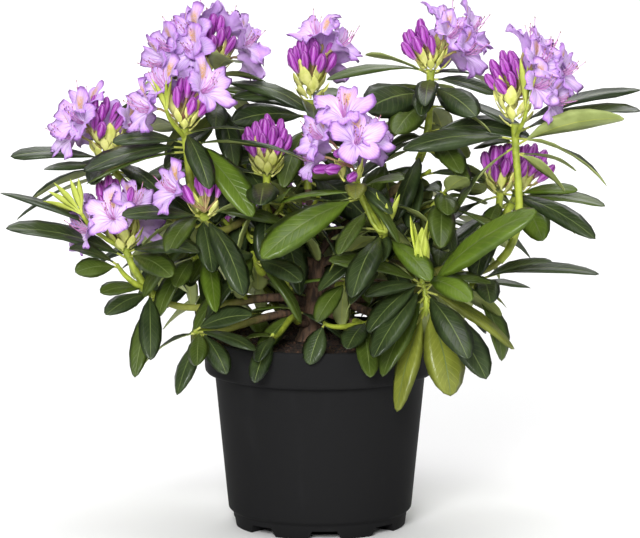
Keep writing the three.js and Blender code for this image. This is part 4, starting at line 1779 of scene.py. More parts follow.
class GeometryTree(NodeTree):
    """A geometry tree with named inputs."""

    def __init__(self, name: str, inputs: dict[str, tuple[str, object]]) -> None:
        """Starts a tree.

        Args:
            name: the tree's name.
            inputs: socket type and value by name.
        """
        super().__init__(bpy.data.node_groups.new(name, "GeometryNodeTree"))
        self.values = {}
        self.tree.interface.new_socket("Geometry", in_out="INPUT", socket_type="NodeSocketGeometry")
        self.tree.interface.new_socket("Geometry", in_out="OUTPUT", socket_type="NodeSocketGeometry")
        for key, (kind, value) in inputs.items():
            socket = self.tree.interface.new_socket(key, in_out="INPUT", socket_type=kind)
            self.values[socket.identifier] = value
        self.entry = self.node("NodeGroupInput").outputs

    def close(self, geometry: Term) -> None:
        """Ends the tree in a smooth, plain mesh in its material.

        Args:
            geometry: what the tree has made.
        """
        smooth = self.term("GeometryNodeSetShadeSmooth", {"Geometry": geometry})
        plain = self.term("GeometryNodeRealizeInstances", {"Geometry": smooth})
        inputs = {"Geometry": plain, "Material": self.entry["Material"]}
        self.node("NodeGroupOutput", {0: self.term("GeometryNodeSetMaterial", inputs)})

    def bake(self, source: Object, name: str) -> Object:
        """Runs the tree on an object.

        Args:
            source: the object; it is removed.
            name: the new object's name.

        Returns:
            The plain mesh that comes out.
        """
        modifier = source.modifiers.new(name, "NODES")
        modifier.node_group = self.tree
        for identifier, value in self.values.items():
            modifier[identifier] = value
        return evaluated(source, name)


class StemTree(GeometryTree):
    """Runs a round stem along each path of a wire mesh, its thickness from the wire."""

    def __init__(self, name: str, material: Material, sides: int, relief: float = 0,
                 grain: float = 100) -> None:
        """Sets up the tree.

        Args:
            name: the tree's name.
            material: the finish.
            sides: sides of the stem.
            relief: height of the bark's ridges in metres.
            grain: scale of the ridges.
        """
        super().__init__(name, {
            "Sides": ("NodeSocketInt", sides),
            "Relief": ("NodeSocketFloat", relief),
            "Grain": ("NodeSocketFloat", grain),
            "Material": ("NodeSocketMaterial", material),
        })
        curve = self.term("GeometryNodeMeshToCurve", {0: self.entry["Geometry"]})
        outline = {"Resolution": self.entry["Sides"], "Radius": 1.0}
        stem = self.term("GeometryNodeCurveToMesh", {
            "Curve": curve,
            "Profile Curve": self.term("GeometryNodeCurvePrimitiveCircle", outline),
            "Scale": self.term("GeometryNodeInputNamedAttribute", {"Name": "thick"}, data_type="FLOAT"),
            "Fill Caps": True,
        })
        raised = {"Geometry": stem, "Offset": self.ridges()}
        self.close(self.term("GeometryNodeSetPosition", raised))

    def ridges(self, stretch: Point = (1.0, 1.0, 0.3)) -> Term:
        """Raises ridges that run along upright stems.

        Args:
            stretch: how the ridges' noise is stretched.

        Returns:
            The offset of each point.
        """
        place = self.term("GeometryNodeInputPosition")
        stretched = self.term("ShaderNodeVectorMath", {0: place, 1: stretch}, operation="MULTIPLY")
        inputs = {"Vector": stretched, "Scale": self.entry["Grain"], "Detail": 3.0}
        height = (self.term("ShaderNodeTexNoise", inputs) - 0.5) * Term(self, self.entry["Relief"])
        normal = self.term("GeometryNodeInputNormal")
        return self.term("ShaderNodeVectorMath", {0: normal, "Scale": height}, operation="SCALE")

    def run(self, stems: list[Stem], name: str) -> Object:
        """Makes one joined mesh of stems.

        Args:
            stems: the stems.
            name: the object's name.

        Returns:
            The object.
        """
        mesh = bpy.data.meshes.new(name + "_paths")
        edges = []
        count = 0
        for stem in stems:
            edges += [(count + i, count + i + 1) for i in range(len(stem.path) - 1)]
            count += len(stem.path)
        mesh.from_pydata((np.vstack([stem.path for stem in stems]) * MM).tolist(), edges, [])
        radii = np.concatenate([stem.radii for stem in stems]) * MM
        thick = mesh.attributes.new("thick", "FLOAT", "POINT")
        thick.data.foreach_set("value", radii.astype(np.float32))
        return self.bake(link(bpy.data.objects.new(name + "_paths", mesh)), name)


class CrumbTree(GeometryTree):
    """Scatters crumbs over a surface."""

    def __init__(self, name: str, material: Material, density: float, sizes: Span, seed: int) -> None:
        """Sets up the tree.

        Args:
            name: the tree's name.
            material: the finish.
            density: crumbs to the square metre.
            sizes: smallest and largest radius in metres.
            seed: starts the random draws.
        """
        super().__init__(name, {
            "Density": ("NodeSocketFloat", density),
            "Smallest": ("NodeSocketFloat", sizes[0]),
            "Largest": ("NodeSocketFloat", sizes[1]),
            "Seed": ("NodeSocketInt", seed),
            "Material": ("NodeSocketMaterial", material),
        })
        entry = self.entry
        self.seeded = {"Seed": entry["Seed"]}
        bed = {"Mesh": entry["Geometry"], "Density": entry["Density"], **self.seeded}
        flatness = self.any_vector((0.6, 0.6, 0.4), (1.5, 1.1, 0.9))
        spread = {2: entry["Smallest"], 3: entry["Largest"], **self.seeded}
        size = self.term("FunctionNodeRandomValue", spread, 1, data_type="FLOAT")
        self.close(self.term("GeometryNodeInstanceOnPoints", {
            "Points": self.term("GeometryNodeDistributePointsOnFaces", bed),
            "Instance": self.term("GeometryNodeMeshIcoSphere", {"Radius": 1.0, "Subdivisions": 1}),
            "Rotation": self.any_vector((0.0, 0.0, 0.0), (6.3, 6.3, 6.3)),
            "Scale": self.term("ShaderNodeVectorMath", {0: flatness, "Scale": size}, operation="SCALE"),
        }))

    def any_vector(self, low: Point, high: Point) -> Term:
        """Draws a vector between two others for each crumb."""
        inputs = {0: low, 1: high, **self.seeded}
        return self.term("FunctionNodeRandomValue", inputs, data_type="FLOAT_VECTOR")


def lathe(name: str, profile: list[Span], segments: int, bumps: Vec | None = None) -> Object:
    """Turns an outline round the Z axis.

    Args:
        name: the object's name.
        profile: radius and height in millimetres; it starts and ends on the axis.
        segments: steps round the axis.
        bumps: a height to add for each inner point of the profile and step, if any.

    Returns:
        The closed, smooth object.
    """
    turn = turns(segments)
    rows = []
    for i, (radius, z) in enumerate(profile[1:-1]):
        lift = bumps[i] if bumps is not None else 0 * turn
        rows.append(np.stack((radius * np.cos(turn), radius * np.sin(turn), z + lift), axis=1))
    points = np.vstack([*rows, [(0, 0, profile[0][1])], [(0, 0, profile[-1][1])]])
    first, last = len(points) - 2, len(points) - 1
    faces = []
    for k in range(segments):
        n = (k + 1) % segments
        faces.append((first, n, k))
        for i in range(len(rows) - 1):
            low, high = i * segments, (i + 1) * segments
            faces.append((low + k, low + n, high + n, high + k))
        faces.append((high + k, high + n, last))
    parts = MeshParts()
    parts.add(points, faces)
    return parts.mesh(name)


@dataclass
class Pot:
    """A round nursery pot: deep rim, tapering body, stepped foot with drain notches."""

    height: float = 190
    rim_radius: float = 115
    rim_drop: float = 37
    body_top: float = 104.2
    body_foot: float = 91
    foot_step: float = 19
    foot_radius: float = 85
    wall: float = 3
    floor: float = 15
    floor_ring: float = 40
    segments: int = 160
    sharp_from: float = 42
    notch_count: int = 8
    notch_width: float = 34
    notch_top: float = 0.36
    notch_height: float = 8.5
    notch_inner: float = 58
    notch_past: float = 8
    notch_turn: float = -87
    finish: PlasticFinish = PlasticFinish("black_plastic", (0.0125, 0.0125, 0.013), (0.018, 0.018, 0.019))

    def profile(self) -> list[Span]:
        """Draws the shell's outline, from the underside out and back in.

        Returns:
            Radius and height of each point.
        """
        foot, step, body = self.foot_radius, self.foot_step, self.body_foot
        rim, inside = self.rim_radius, self.rim_radius - self.wall
        top, under = self.height, self.height - self.rim_drop
        flank = [(lerp(body, self.body_top, s), lerp(step, under, s)) for s in (0.25, 0.5, 0.75)]
        return [
            (0, 0), (self.floor_ring, 0), (foot - 1, 0), (foot, 1), (foot + 1.2, 12), (foot + 2, 14.5),
            (body - 1.6, step - 3), (body - 0.4, step - 1.6), (body, step), *flank,
            (self.body_top - 0.2, under - 2), (self.body_top + 0.6, under + 0.6),
            (rim - 5, under + 0.3), (rim - 2.8, under + 0.9), (rim - 1.5, under + 2.6),
            (rim - 1, under + 5), (rim - 0.2, top - 4), (rim, top - 2), (rim - 0.5, top - 0.6),
            (rim - 1.5, top),
            (inside + 0.6, top - 0.3), (inside, top - 1.4), (inside - 1, under + self.wall),
            (self.body_top - self.wall, under), (body - self.wall, step), (foot - self.wall, self.floor),
            (0, self.floor),
        ]

    def notches(self) -> Object:
        """Makes the blocks that cut the drain notches.

        Returns:
            The blocks as one object.
        """
        cutters = MeshParts()
        outer = self.foot_radius + self.notch_past
        corners = ((self.notch_inner, -1), (outer, -1), (outer, 1), (self.notch_inner, 1))
        levels = ((-1.0, self.notch_width / 2), (self.notch_height, self.notch_width * self.notch_top))
        faces = [(3, 2, 1, 0), (4, 5, 6, 7), (0, 1, 5, 4), (1, 2, 6, 5), (2, 3, 7, 6), (3, 0, 4, 7)]
        for i in range(self.notch_count):
            turn = math.radians(self.notch_turn + 360 * i / self.notch_count)
            out = np.array((math.cos(turn), math.sin(turn), 0.0))
            side = np.array((-out[1], out[0], 0.0))
            points = [out * reach + side * half * way + UP * z
                      for z, half in levels for reach, way in corners]
            cutters.add(np.array(points), faces)
        return cutters.mesh("pot_notches")

    def build(self) -> Object:
        """Turns the shell and cuts the notches.

        Returns:
            The pot.
        """
        shell = lathe("pot_shell", self.profile(), self.segments)
        cutter = self.notches()
        cut = shell.modifiers.new("notches", "BOOLEAN")
        cut.operation = "DIFFERENCE"
        cut.solver = "EXACT"
        cut.object = cutter
        pot = evaluated(shell, "nursery_pot")
        bpy.data.objects.remove(cutter)
        pot.data.set_sharp_from_angle(angle=math.radians(self.sharp_from))
        return pot

    def dress(self, pot: Object) -> None:
        """Gives the pot its finish and its place in the part.

        Args:
            pot: the pot.
        """
        pot.data.materials.clear()
        pot.data.materials.append(self.finish.make())
        take(pot, "black_plastic", "pot")


@dataclass
class Peat:
    """The fill of the pot, uneven, with loose crumbs on it."""

    flanks: tuple[Span, ...] = ((0, 15.6), (81.4, 15.6), (87.4, 19.6), (100.6, 153.6), (110.2, 157))
    top: float = 182
    crown: float = 183.4
    radius: float = 111.0
    shoulder: Span = (0.6, 3)
    rings: int = 26
    segments: int = 110
    unevenness: float = 0.65
    seed: int = 11
    bed_lift: float = 0.6
    bed_inset: float = 2.6
    bed_sides: int = 60
    crumb_density: float = 42000
    crumb_sizes: Span = (0.7, 2.6)
    crumb_seed: int = 7
    fill_finish: PeatFinish = PeatFinish("damp_peat", (0.05, 0.024, 0.014), (0.01, 0.006, 0.004))
    crumb_finish: PeatFinish = PeatFinish("peat_crumb", (0.075, 0.036, 0.02), (0.014, 0.008, 0.005))

    def build(self) -> Object:
        """Makes the closed fill with an uneven top.

        Returns:
            The fill.
        """
        inset, drop = self.shoulder
        flanks = [*self.flanks, (self.radius - inset, self.top - drop)]
        shares = np.linspace(1, 0, self.rings)
        surface = [(self.radius * s, lerp(self.crown, self.top, s * s)) for s in shares]
        profile = flanks + surface
        rng = np.random.default_rng(self.seed)
        bumps = np.zeros((len(profile) - 2, self.segments))
        rough = rng.normal(0, self.unevenness, (self.rings - 1, self.segments))
        bumps[len(flanks) - 1:] = (rough + np.roll(rough, 1, 1) + np.roll(rough, 1, 0)) / 2
        return lathe("peat_fill", profile, self.segments, bumps)

    def crumbs(self) -> Object:
        """Scatters the crumbs over a flat disc at the peat's top.

        Returns:
            The crumbs.
        """
        centre = UP * (self.top + self.bed_lift)
        disc = MeshParts()
        rim = ring(centre, *frame_round(UP), self.radius - self.bed_inset, self.bed_sides)
        disc.add(rim, [tuple(range(self.bed_sides))])
        sizes = (self.crumb_sizes[0] * MM, self.crumb_sizes[1] * MM)
        scatter = CrumbTree("crumbs", self.crumb_finish.make(), self.crumb_density, sizes, self.crumb_seed)
        return scatter.bake(disc.mesh("crumb_bed"), "peat_crumbs")

    def dress(self, fill: Object, crumbs: Object) -> None:
        """Gives the peat its finish and its place in the part.

        Args:
            fill: the fill.
            crumbs: the crumbs.
        """
        fill.data.materials.append(self.fill_finish.make())
        take(fill, "peat", "peat")
        take(crumbs, "peat")


@dataclass
class Wood:
    """Trunk, boughs and twigs; relief in metres."""

    shrub: Shrub
    limb_points: int = 28
    limb_sides: int = 16
    limb_relief: float = 0.0022
    limb_grain: float = 120
    twig_points: int = 12
    twig_sides: int = 10
    twig_relief: float = 0.0006
    twig_grain: float = 200
    bark: BarkFinish = BarkFinish("bark", (0.15, 0.085, 0.05), (0.04, 0.024, 0.016), (0.27, 0.3, 0.045))
    green: MottledFinish = MottledFinish(
        "green_stem", (0.4, 0.47, 0.05), (0.19, 0.24, 0.02), 0.5, 90, 0.0004)

    def build(self) -> tuple[Object, Object]:
        """Makes the stems.

        Returns:
            The bark-covered limbs and the green twigs.
        """
        shrub = self.shrub
        limbs = [shrub.limb_stem(name, self.limb_points) for name in shrub.limbs]
        bark = StemTree("limbs", self.bark.make(), self.limb_sides, self.limb_relief, self.limb_grain)
        twigs = [shrub.twig_stem(twig, self.twig_points) for mass in shrub.masses for twig in mass.twigs]
        twigs += [shrub.sprig_stem(sprig, self.twig_points // 2) for sprig in shrub.sprigs]
        green = StemTree("twigs", self.green.make(), self.twig_sides, self.twig_relief, self.twig_grain)
        return bark.run(limbs, "limbs"), green.run(twigs, "twigs")

    def dress(self, limbs: Object, twigs: Object) -> None:
        """Gives the wood its place in the part."""
        take(limbs, "bark", *self.shrub.limbs)
        take(twigs, "foliage")


class LeafSlot(IntEnum):
    """The finishes of a leaf; the midrib is a stalk from below."""

    TOP = 0
    UNDER = 1
    RIB = 2
    STALK = 3


@dataclass
class LeafMesh:
    """The outline and cross-section of a leaf as a thin closed shell."""

    petiole: float = 0.13
    stalk_end: float = 0.11
    shares: Row = (0, 0.12, 0.17, 0.27, 0.42, 0.58, 0.74, 0.88, 0.965)
    across: Row = (-1, -0.55, -0.035, 0.035, 0.55, 1)
    outline: Span = (0.8, 0.64)
    outline_peak: float = 0.37
    narrow_outline: Span = (0.9, 0.85)
    slimness: float = 0.98
    broadness: float = 1.3
    small_from: float = 78
    small_span: float = 34
    thickness: float = 0.45
    petiole_half: float = 1.3
    stalk_top: Row = (0, 0.8, 1.1, 1.1, 0.8, 0)
    stalk_low: Row = (-0.9, -1.3, -1.3, -0.9)
    groove: float = 0.1
    fold: float = 0.1
    rib: Span = (1.3, 0.4)
    cups: Span = (-0.2, 0.16)
    wave: float = 0.07
    waves: float = 9
    twist: float = 0.45

    @property
    def row(self) -> int:
        """Counts the points of a row: those above, and those below between the edges."""
        return 2 * len(self.across) - 2

    def half_widths(self, leaf: Leaf) -> Vec:
        """Gives half the blade's width.

        Args:
            leaf: the leaf.

        Returns:
            A half width for each share; the petiole keeps its own.
        """
        blade = np.clip((np.array(self.shares) - self.petiole) / (1 - self.petiole), 0, 1)
        if leaf.tone in (Tone.SHOOT, Tone.BRACT):
            foot, tip = self.narrow_outline
            outline = np.sin(math.pi * blade**foot) ** tip
        else:
            foot, tip = self.outline
            small = min(1, max(0, (self.small_from - leaf.length) / self.small_span))
            broad = lerp(self.slimness, self.broadness, small)
            outline = blade**foot * (1 - blade) ** tip / self.outline_peak * broad
        return np.maximum(outline * leaf.width / 2, self.petiole_half * (1 - np.array(self.shares)))

    def points(self, leaf: Leaf) -> Vec:
        """Places the leaf's points.

        Args:
            leaf: the leaf.

        Returns:
            Rows of points above and below, then the tip.
        """
        shares = np.array((*self.shares, 1))
        centre, flat_side, flat_normal = leaf.frames(shares)
        turn = (between((-self.twist, self.twist), leaf.key, Trait.TWIST) * shares)[:, None]
        side = flat_side * np.cos(turn) + flat_normal * np.sin(turn)
        normal = flat_normal * np.cos(turn) - flat_side * np.sin(turn)
        cup = between(self.cups, leaf.key, Trait.CUP)
        phase = PHASE * noise(leaf.key, Trait.WAVE)
        places = (*self.across, *self.across[1:-1])
        rows = []
        for i, half in enumerate(self.half_widths(leaf)):
            wave = self.wave * half * math.sin(self.waves * self.shares[i] + phase)
            rib = lerp(*self.rib, self.shares[i])
            fold, under = self.fold * half, self.fold * half - self.thickness
            top = (cup * half + wave, fold, -self.groove, -self.groove, fold, cup * half - wave)
            heights = (*top, under, -rib, -rib, under)
            if self.shares[i] < self.petiole:
                heights = self.stalk_top + self.stalk_low
            for v, height in zip(places, heights):
                rows.append(centre[i] + side[i] * v * half + normal[i] * height)
        return np.array([*rows, centre[-1]])

    def faces(self) -> tuple[list[Face], list[int]]:
        """Joins the leaf's points.

        Returns:
            The faces, and a slot for each.
        """
        faces, slots = [], []
        width, row = len(self.across), self.row
        tip = row * len(self.shares)
        for i, share in enumerate(self.shares):
            over = list(range(row * i, row * i + width))
            under = [over[0], *range(over[-1] + 1, row * (i + 1)), over[-1]]
            for j in range(width - 1):
                a, b, c, d = over[j], over[j + 1], under[j], under[j + 1]
                is_last = i == len(self.shares) - 1
                faces.append((a, tip, b) if is_last else (a, a + row, b + row, b))
                faces.append((c, d, tip) if is_last else (c, d, d + row, c + row))
                if share < self.stalk_end:
                    slots += [LeafSlot.STALK, LeafSlot.STALK]
                elif j == width // 2 - 1:
                    slots += [LeafSlot.RIB, LeafSlot.STALK]
                else:
                    slots += [LeafSlot.TOP, LeafSlot.UNDER]
        faces.append((*range(width), *range(row - 1, width - 1, -1)))
        slots.append(LeafSlot.STALK)
        return faces, slots

    def chart(self) -> Vec:
        """Gives each point its share along the leaf and across it."""
        places = (*self.across, *self.across[1:-1])
        return np.array([*((share, 0.5 + v / 2) for share in self.shares for v in places), (1, 0.5)])


@dataclass(frozen=True)
class LeafDress:
    """The finishes of one tone of leaves."""

    top: LeafFinish
    under: MottledFinish = MottledFinish("underside", (0.34, 0.4, 0.13), (0.24, 0.29, 0.08), 0.6)
    rib: MottledFinish = MottledFinish("midrib", (0.14, 0.18, 0.05), (0.09, 0.13, 0.035), 0.45)
    stalk: MottledFinish = MottledFinish("petiole", (0.48, 0.51, 0.11), (0.33, 0.37, 0.06), 0.5)

    def make(self) -> list[Material]:
        """Builds the materials in slot order."""
        return [finish.make() for finish in (self.top, self.under, self.rib, self.stalk)]


PALE = MottledFinish("young_underside", (0.5, 0.56, 0.1), (0.36, 0.42, 0.05), 0.6)
SCALE = MottledFinish("bract_back", (0.85, 0.84, 0.3), (0.6, 0.63, 0.13), 0.55, 110)
LEAF_DRESSES = {
    Tone.DEEP: LeafDress(
        LeafFinish("leaf_deep", (0.036, 0.057, 0.018), (0.015, 0.026, 0.009), (0.075, 0.095, 0.03))),
    Tone.GREEN: LeafDress(
        LeafFinish("leaf_green", (0.064, 0.097, 0.014), (0.037, 0.06, 0.009), (0.1, 0.14, 0.03))),
    Tone.FRESH: LeafDress(
        LeafFinish("leaf_fresh", (0.095, 0.152, 0.014), (0.058, 0.1, 0.009), (0.15, 0.2, 0.035))),
    Tone.OLIVE: LeafDress(
        LeafFinish("leaf_olive", (0.19, 0.215, 0.03), (0.125, 0.145, 0.02), (0.28, 0.3, 0.06))),
    Tone.SHOOT: LeafDress(
        LeafFinish("leaf_shoot", (0.52, 0.6, 0.07), (0.36, 0.44, 0.035), (0.6, 0.64, 0.16), 0.5),
        PALE, PALE, PALE),
    Tone.BRACT: LeafDress(
        LeafFinish("bract", (0.82, 0.82, 0.27), (0.56, 0.6, 0.11), (0.84, 0.82, 0.38), 0.55),
        SCALE, SCALE, SCALE),
}


@dataclass
class Foliage:
    """All leaves, joined by tone."""

    shrub: Shrub
    shape: LeafMesh = field(default_factory=LeafMesh)

    def build(self) -> dict[Tone, Object]:
        """Makes one joined mesh for each tone.

        Returns:
            The meshes by tone.
        """
        faces, slots = self.shape.faces()
        chart = self.shape.chart()
        things = {}
        for tone, dress in LEAF_DRESSES.items():
            parts = MeshParts()
            for leaf in self.shrub.leaves:
                if leaf.tone is tone:
                    parts.add(self.shape.points(leaf), faces, slots, chart)
            things[tone] = parts.mesh("leaves_" + tone.value, *dress.make())
        return things

    def dress(self, things: dict[Tone, Object]) -> None:
        """Gives the leaves their place in the part; the deep ones stand for all masses.

        Args:
            things: the meshes by tone.
        """
        nodes = ["foliage_" + mass.name for mass in self.shrub.masses]
        for tone, thing in things.items():
            take(thing, "foliage", *(nodes if tone is Tone.DEEP else []))


@dataclass(frozen=True)
class StamenPlan:
    """How the stamens and the pistil stand in an open flower."""

    count: int = 9
    shares: Row = (0, 0.4, 0.75, 1)
    radii: Row = (0.5, 0.45, 0.42, 0.4)
    sides: int = 4
    turn_jitter: float = 0.06
    pistil_spread: float = 0.6
    pistil_length: float = 35
    spreads: Span = (2.5, 5.5)
    lengths: Span = (19, 29)
    foot: float = 3
    opening: Span = (0.3, 0.9)
    dip: float = 5
    upturn: float = 9
    anther_ends: Span = (1.5, 1.0)
    anther_half: float = 0.8


@dataclass(frozen=True)
class CorollaPlan:
    """The shape of an open flower, ring by ring, from its foot to its margin."""

    lobes: int = 5
    steps: int = 12
    radii: Row = (3.0, 6.6, 11.8, 17.8, 23.2, 27.6)
    heights: Row = (4.5, 10.5, 15.6, 19, 20.6, 20.2)
    notches: Row = (0, 0, 0.05, 0.18, 0.33, 0.47)
    notch_dip: float = 7
    ripples: Row = (0, 0, 0.2, 0.7, 1.35, 2.1)
    ripple_waves: tuple[Span, ...] = ((1, 8), (0.9, 13), (0.8, 4))
    oval: float = 0.06
    oval_waves: float = 3
    crinkle: float = 0.05
    crinkle_lift: float = 20
    thickness: float = 0.5
    margin_slope: float = 0.3
    foot: float = 2

    @property
    def count(self) -> int:
        """Counts the points of a ring."""
        return self.lobes * self.steps


@dataclass(frozen=True)
class BudPlan:
    """The shape of a closed bud, ring by ring."""

    sides: int = 10
    shares: Row = (0.1, 0.3, 0.55, 0.78, 0.93)
    radii: Row = (2.0, 3.6, 4.8, 4.4, 2.7)
    widths: Span = (0.85, 1.15)
    twist: float = 1.2
    flutes: float = 5
    flute_depth: float = 0.14
    curve: float = 3


@dataclass
class Blossom:
    """Open flowers, buds, stalks and stamens."""

    shrub: Shrub
    corolla: CorollaPlan = CorollaPlan()
    bud: BudPlan = BudPlan()
    stamen: StamenPlan = StamenPlan()
    pedicel_sides: int = 6
    pedicel_radii: Row = (1.5, 1.2, 1.3, 1.7)
    pedicel_ends: Span = (2, 2.5)
    petal_pale: PetalFinish = PetalFinish(
        "petal_pale", (0.82, 0.69, 0.91), (0.61, 0.41, 0.78), (0.4, 0.15, 0.56))
    petal_lilac: PetalFinish = PetalFinish(
        "petal_lilac", (0.75, 0.6, 0.87), (0.55, 0.34, 0.73), (0.34, 0.11, 0.5))
    petal_back: MottledFinish = MottledFinish(
        "petal_back", (0.62, 0.42, 0.77), (0.5, 0.29, 0.67), 0.62, 120, specular=0.25)
    bud_skin: BudFinish = BudFinish("bud", (0.74, 0.42, 0.81), (0.5, 0.085, 0.57), (0.12, 0.005, 0.13))
    pedicel_green: MottledFinish = MottledFinish("pedicel", (0.38, 0.36, 0.1), (0.34, 0.16, 0.12), 0.5, 120)
    filament_pink: MottledFinish = MottledFinish("filament", (0.72, 0.4, 0.68), (0.56, 0.2, 0.5), 0.5, 200)
    anther_brown: MottledFinish = MottledFinish("anther", (0.35, 0.16, 0.12), (0.2, 0.07, 0.1), 0.6, 300)

    def flowers(self, is_open: bool) -> list[Flower]:
        """Lists the open flowers or the buds."""
        return [flower for flower in self.shrub.flowers if flower.open is is_open]

    def axes(self, flower: Flower) -> tuple[Vec, Vec]:
        """Gives the directions of the upper lobe and of the flower's left side."""
        upper = unit(flower.lift - flower.axis * float(flower.lift @ flower.axis))
        return upper, np.cross(flower.axis, upper)

    def corolla_points(self, flower: Flower) -> Vec:
        """Places a flower's points.

        Args:
            flower: the flower.

        Returns:
            The foot inside and out, then the rings inside, then the rings outside.
        """
        plan = self.corolla
        upper, left = self.axes(flower)
        turn = turns(plan.count)
        off = np.abs((turn * plan.lobes / FULL_TURN + 0.5) % 1 - 0.5) * 2
        phases = [PHASE * noise(flower.key, Trait.RIPPLE + i) for i in range(4)]
        ripple = sum(size * np.sin(waves * turn + phase)
                     for (size, waves), phase in zip(plan.ripple_waves, phases))
        oval = 1 + plan.oval * np.sin(plan.oval_waves * turn + phases[3])
        crinkles = np.random.default_rng(flower.key).normal(0, plan.crinkle, (2, plan.count))
        crinkles = (crinkles + np.roll(crinkles, 1, 1) + np.roll(crinkles, 2, 1)) / 2
        rows = []
        for way in (0, 1):
            for i in range(len(plan.radii) - way):
                frill = i / (len(plan.radii) - 1)
                radius = plan.radii[i] * (1 - plan.notches[i] * off**3) * oval
                radius = radius * (1 + crinkles[0] * frill**2) - plan.margin_slope * way * plan.thickness
                height = plan.heights[i] - plan.notch_dip * plan.notches[i] * off**2
                height = height + plan.ripples[i] * ripple
                height = height + plan.crinkle_lift * crinkles[1] * frill**3 - way * plan.thickness
                rows.append(flower.seat + flower.size * (
                    upper * (radius * np.cos(turn))[:, None] + left * (radius * np.sin(turn))[:, None]
                    + flower.axis * height[:, None]))
        return np.vstack([[flower.seat + flower.axis * plan.foot], [flower.seat], *rows])

    def corolla_faces(self, tone: int) -> tuple[list[Face], list[int]]:
        """Joins a flower's points.

        Args:
            tone: the slot of the inside, 0 or 1; the outside has slot 2.

        Returns:
            The faces, and a slot for each.
        """
        count, rings = self.corolla.count, len(self.corolla.radii)
        inside = [2 + i * count for i in range(rings)]
        outside = [2 + (rings + i) * count for i in range(rings - 1)] + [inside[-1]]
        faces = []
        for k in range(count):
            n = (k + 1) % count
            faces += [(0, inside[0] + k, inside[0] + n), (1, outside[0] + n, outside[0] + k)]
            for i in range(rings - 1):
                faces.append((inside[i] + k, inside[i + 1] + k, inside[i + 1] + n, inside[i] + n))
                faces.append((outside[i] + n, outside[i + 1] + n, outside[i + 1] + k, outside[i] + k))
        return faces, [tone, 2] * (len(faces) // 2)

    def corolla_chart(self) -> Vec:
        """Charts a flower.

        Returns:
            For each point its share of the turn, the upper lobe first, and its share of the way out.
        """
        count, rings = self.corolla.count, len(self.corolla.radii)
        turn = (np.arange(count) / count + 0.5 / self.corolla.lobes) % 1
        ways = [(i + 1) / rings for i in (*range(rings), *range(rings - 1))]
        rows = [np.stack((turn, np.full(count, way)), axis=1) for way in ways]
        return np.vstack([[(0.5, 0)], [(0.5, 0)], *rows])

    def petals(self) -> Object:
        """Makes the joined mesh of all corollas.

        Returns:
            The mesh, in two tones.
        """
        parts = MeshParts()
        chart = self.corolla_chart()
        for flower in self.flowers(True):
            tone = int(noise(flower.key, Trait.PETAL_TONE) > 0.5)
            parts.add(self.corolla_points(flower), *self.corolla_faces(tone), chart)
        finishes = (self.petal_pale, self.petal_lilac, self.petal_back)
        return parts.mesh("petals", *(finish.make() for finish in finishes))

    def bud_points(self, flower: Flower) -> Vec:
        """Places a bud's points.

        Args:
            flower: the bud.

        Returns:
            The foot, the tip, then the rings.
        """
        plan = self.bud
        upper, left = self.axes(flower)
        length = TRUSS.bud_length * flower.size
        rows = []
        for share, radius in zip(plan.shares, plan.radii):
            turn = turns(plan.sides) + share * plan.twist
            wide = radius * (1 + plan.flute_depth * np.cos(plan.flutes * turn))
            wide = wide * between(plan.widths, flower.key, Trait.BUD_WIDTH)
            centre = flower.seat + flower.axis * length * share + flower.lift * plan.curve * share * share
            rows.append(
                centre + upper * (wide * np.cos(turn))[:, None] + left * (wide * np.sin(turn))[:, None])
        tip = flower.seat + flower.axis * length + flower.lift * plan.curve
        return np.vstack([[flower.seat], [tip], *rows])

    def buds(self) -> Object:
        """Makes the joined mesh of all buds.

        Returns:
            The mesh.
        """
        parts = MeshParts()
        count, last = self.bud.sides, len(self.bud.shares) - 1
        chart = [(0.5, 0), (0.5, 1)]
        chart += [(k / count, share) for share in self.bud.shares for k in range(count)]
        faces = []
        for k in range(count):
            n = (k + 1) % count
            faces += [(0, 2 + n, 2 + k), (1, 2 + last * count + k, 2 + last * count + n)]
            for i in range(last):
                low, high = 2 + i * count, 2 + (i + 1) * count
                faces.append((low + k, low + n, high + n, high + k))
        for flower in self.flowers(False):
            parts.add(self.bud_points(flower), faces, chart=np.array(chart))
        return parts.mesh("buds", self.bud_skin.make())

    def pedicels(self) -> Object:
        """Makes the stalks of flowers and buds.

        Returns:
            The stalks.
        """
        below, above = self.pedicel_ends
        stems = []
        for flower in self.shrub.flowers:
            end = flower.seat - flower.axis * below
            middle = (flower.root + flower.seat - flower.axis * below) / 2
            path = np.array((flower.root, middle, end, flower.seat + flower.axis * above))
            stems.append(Stem(path, np.array(self.pedicel_radii)))
        return StemTree("pedicels", self.pedicel_green.make(), self.pedicel_sides).run(stems, "pedicels")

    def filaments(self) -> Object:
        """Makes the filaments and pistils that curve up out of the open flowers.

        Returns:
            The filaments.
        """
        radii = np.array(self.stamen.radii)
        stems = []
        for flower in self.flowers(True):
            stems += [Stem(self.filament(flower, i), radii) for i in range(self.stamen.count)]
        return StemTree("filaments", self.filament_pink.make(), self.stamen.sides).run(stems, "filaments")

    def filament(self, flower: Flower, index: int) -> Vec:
        """Draws one filament.

        Args:
            flower: the flower.
            index: 0 for the pistil, which is longer.

        Returns:
            Points along it.
        """
        plan = self.stamen
        key = flower.key + index
        upper, left = self.axes(flower)
        turn = PHASE * (index / plan.count + plan.turn_jitter * noise(key, Trait.STAMEN_TURN))
        spread = between(plan.spreads, key, Trait.STAMEN_SPREAD) if index else plan.pistil_spread
        length = between(plan.lengths, key, Trait.STAMEN_LENGTH) if index else plan.pistil_length
        side = upper * math.cos(turn) + left * math.sin(turn)
        foot = flower.seat + flower.axis * plan.foot
        near, far = plan.opening
        return np.array([
            foot + flower.axis * length * t + side * spread * (near + far * t)
            - upper * plan.dip * t + upper * plan.upturn * t**3
            for t in plan.shares
        ])

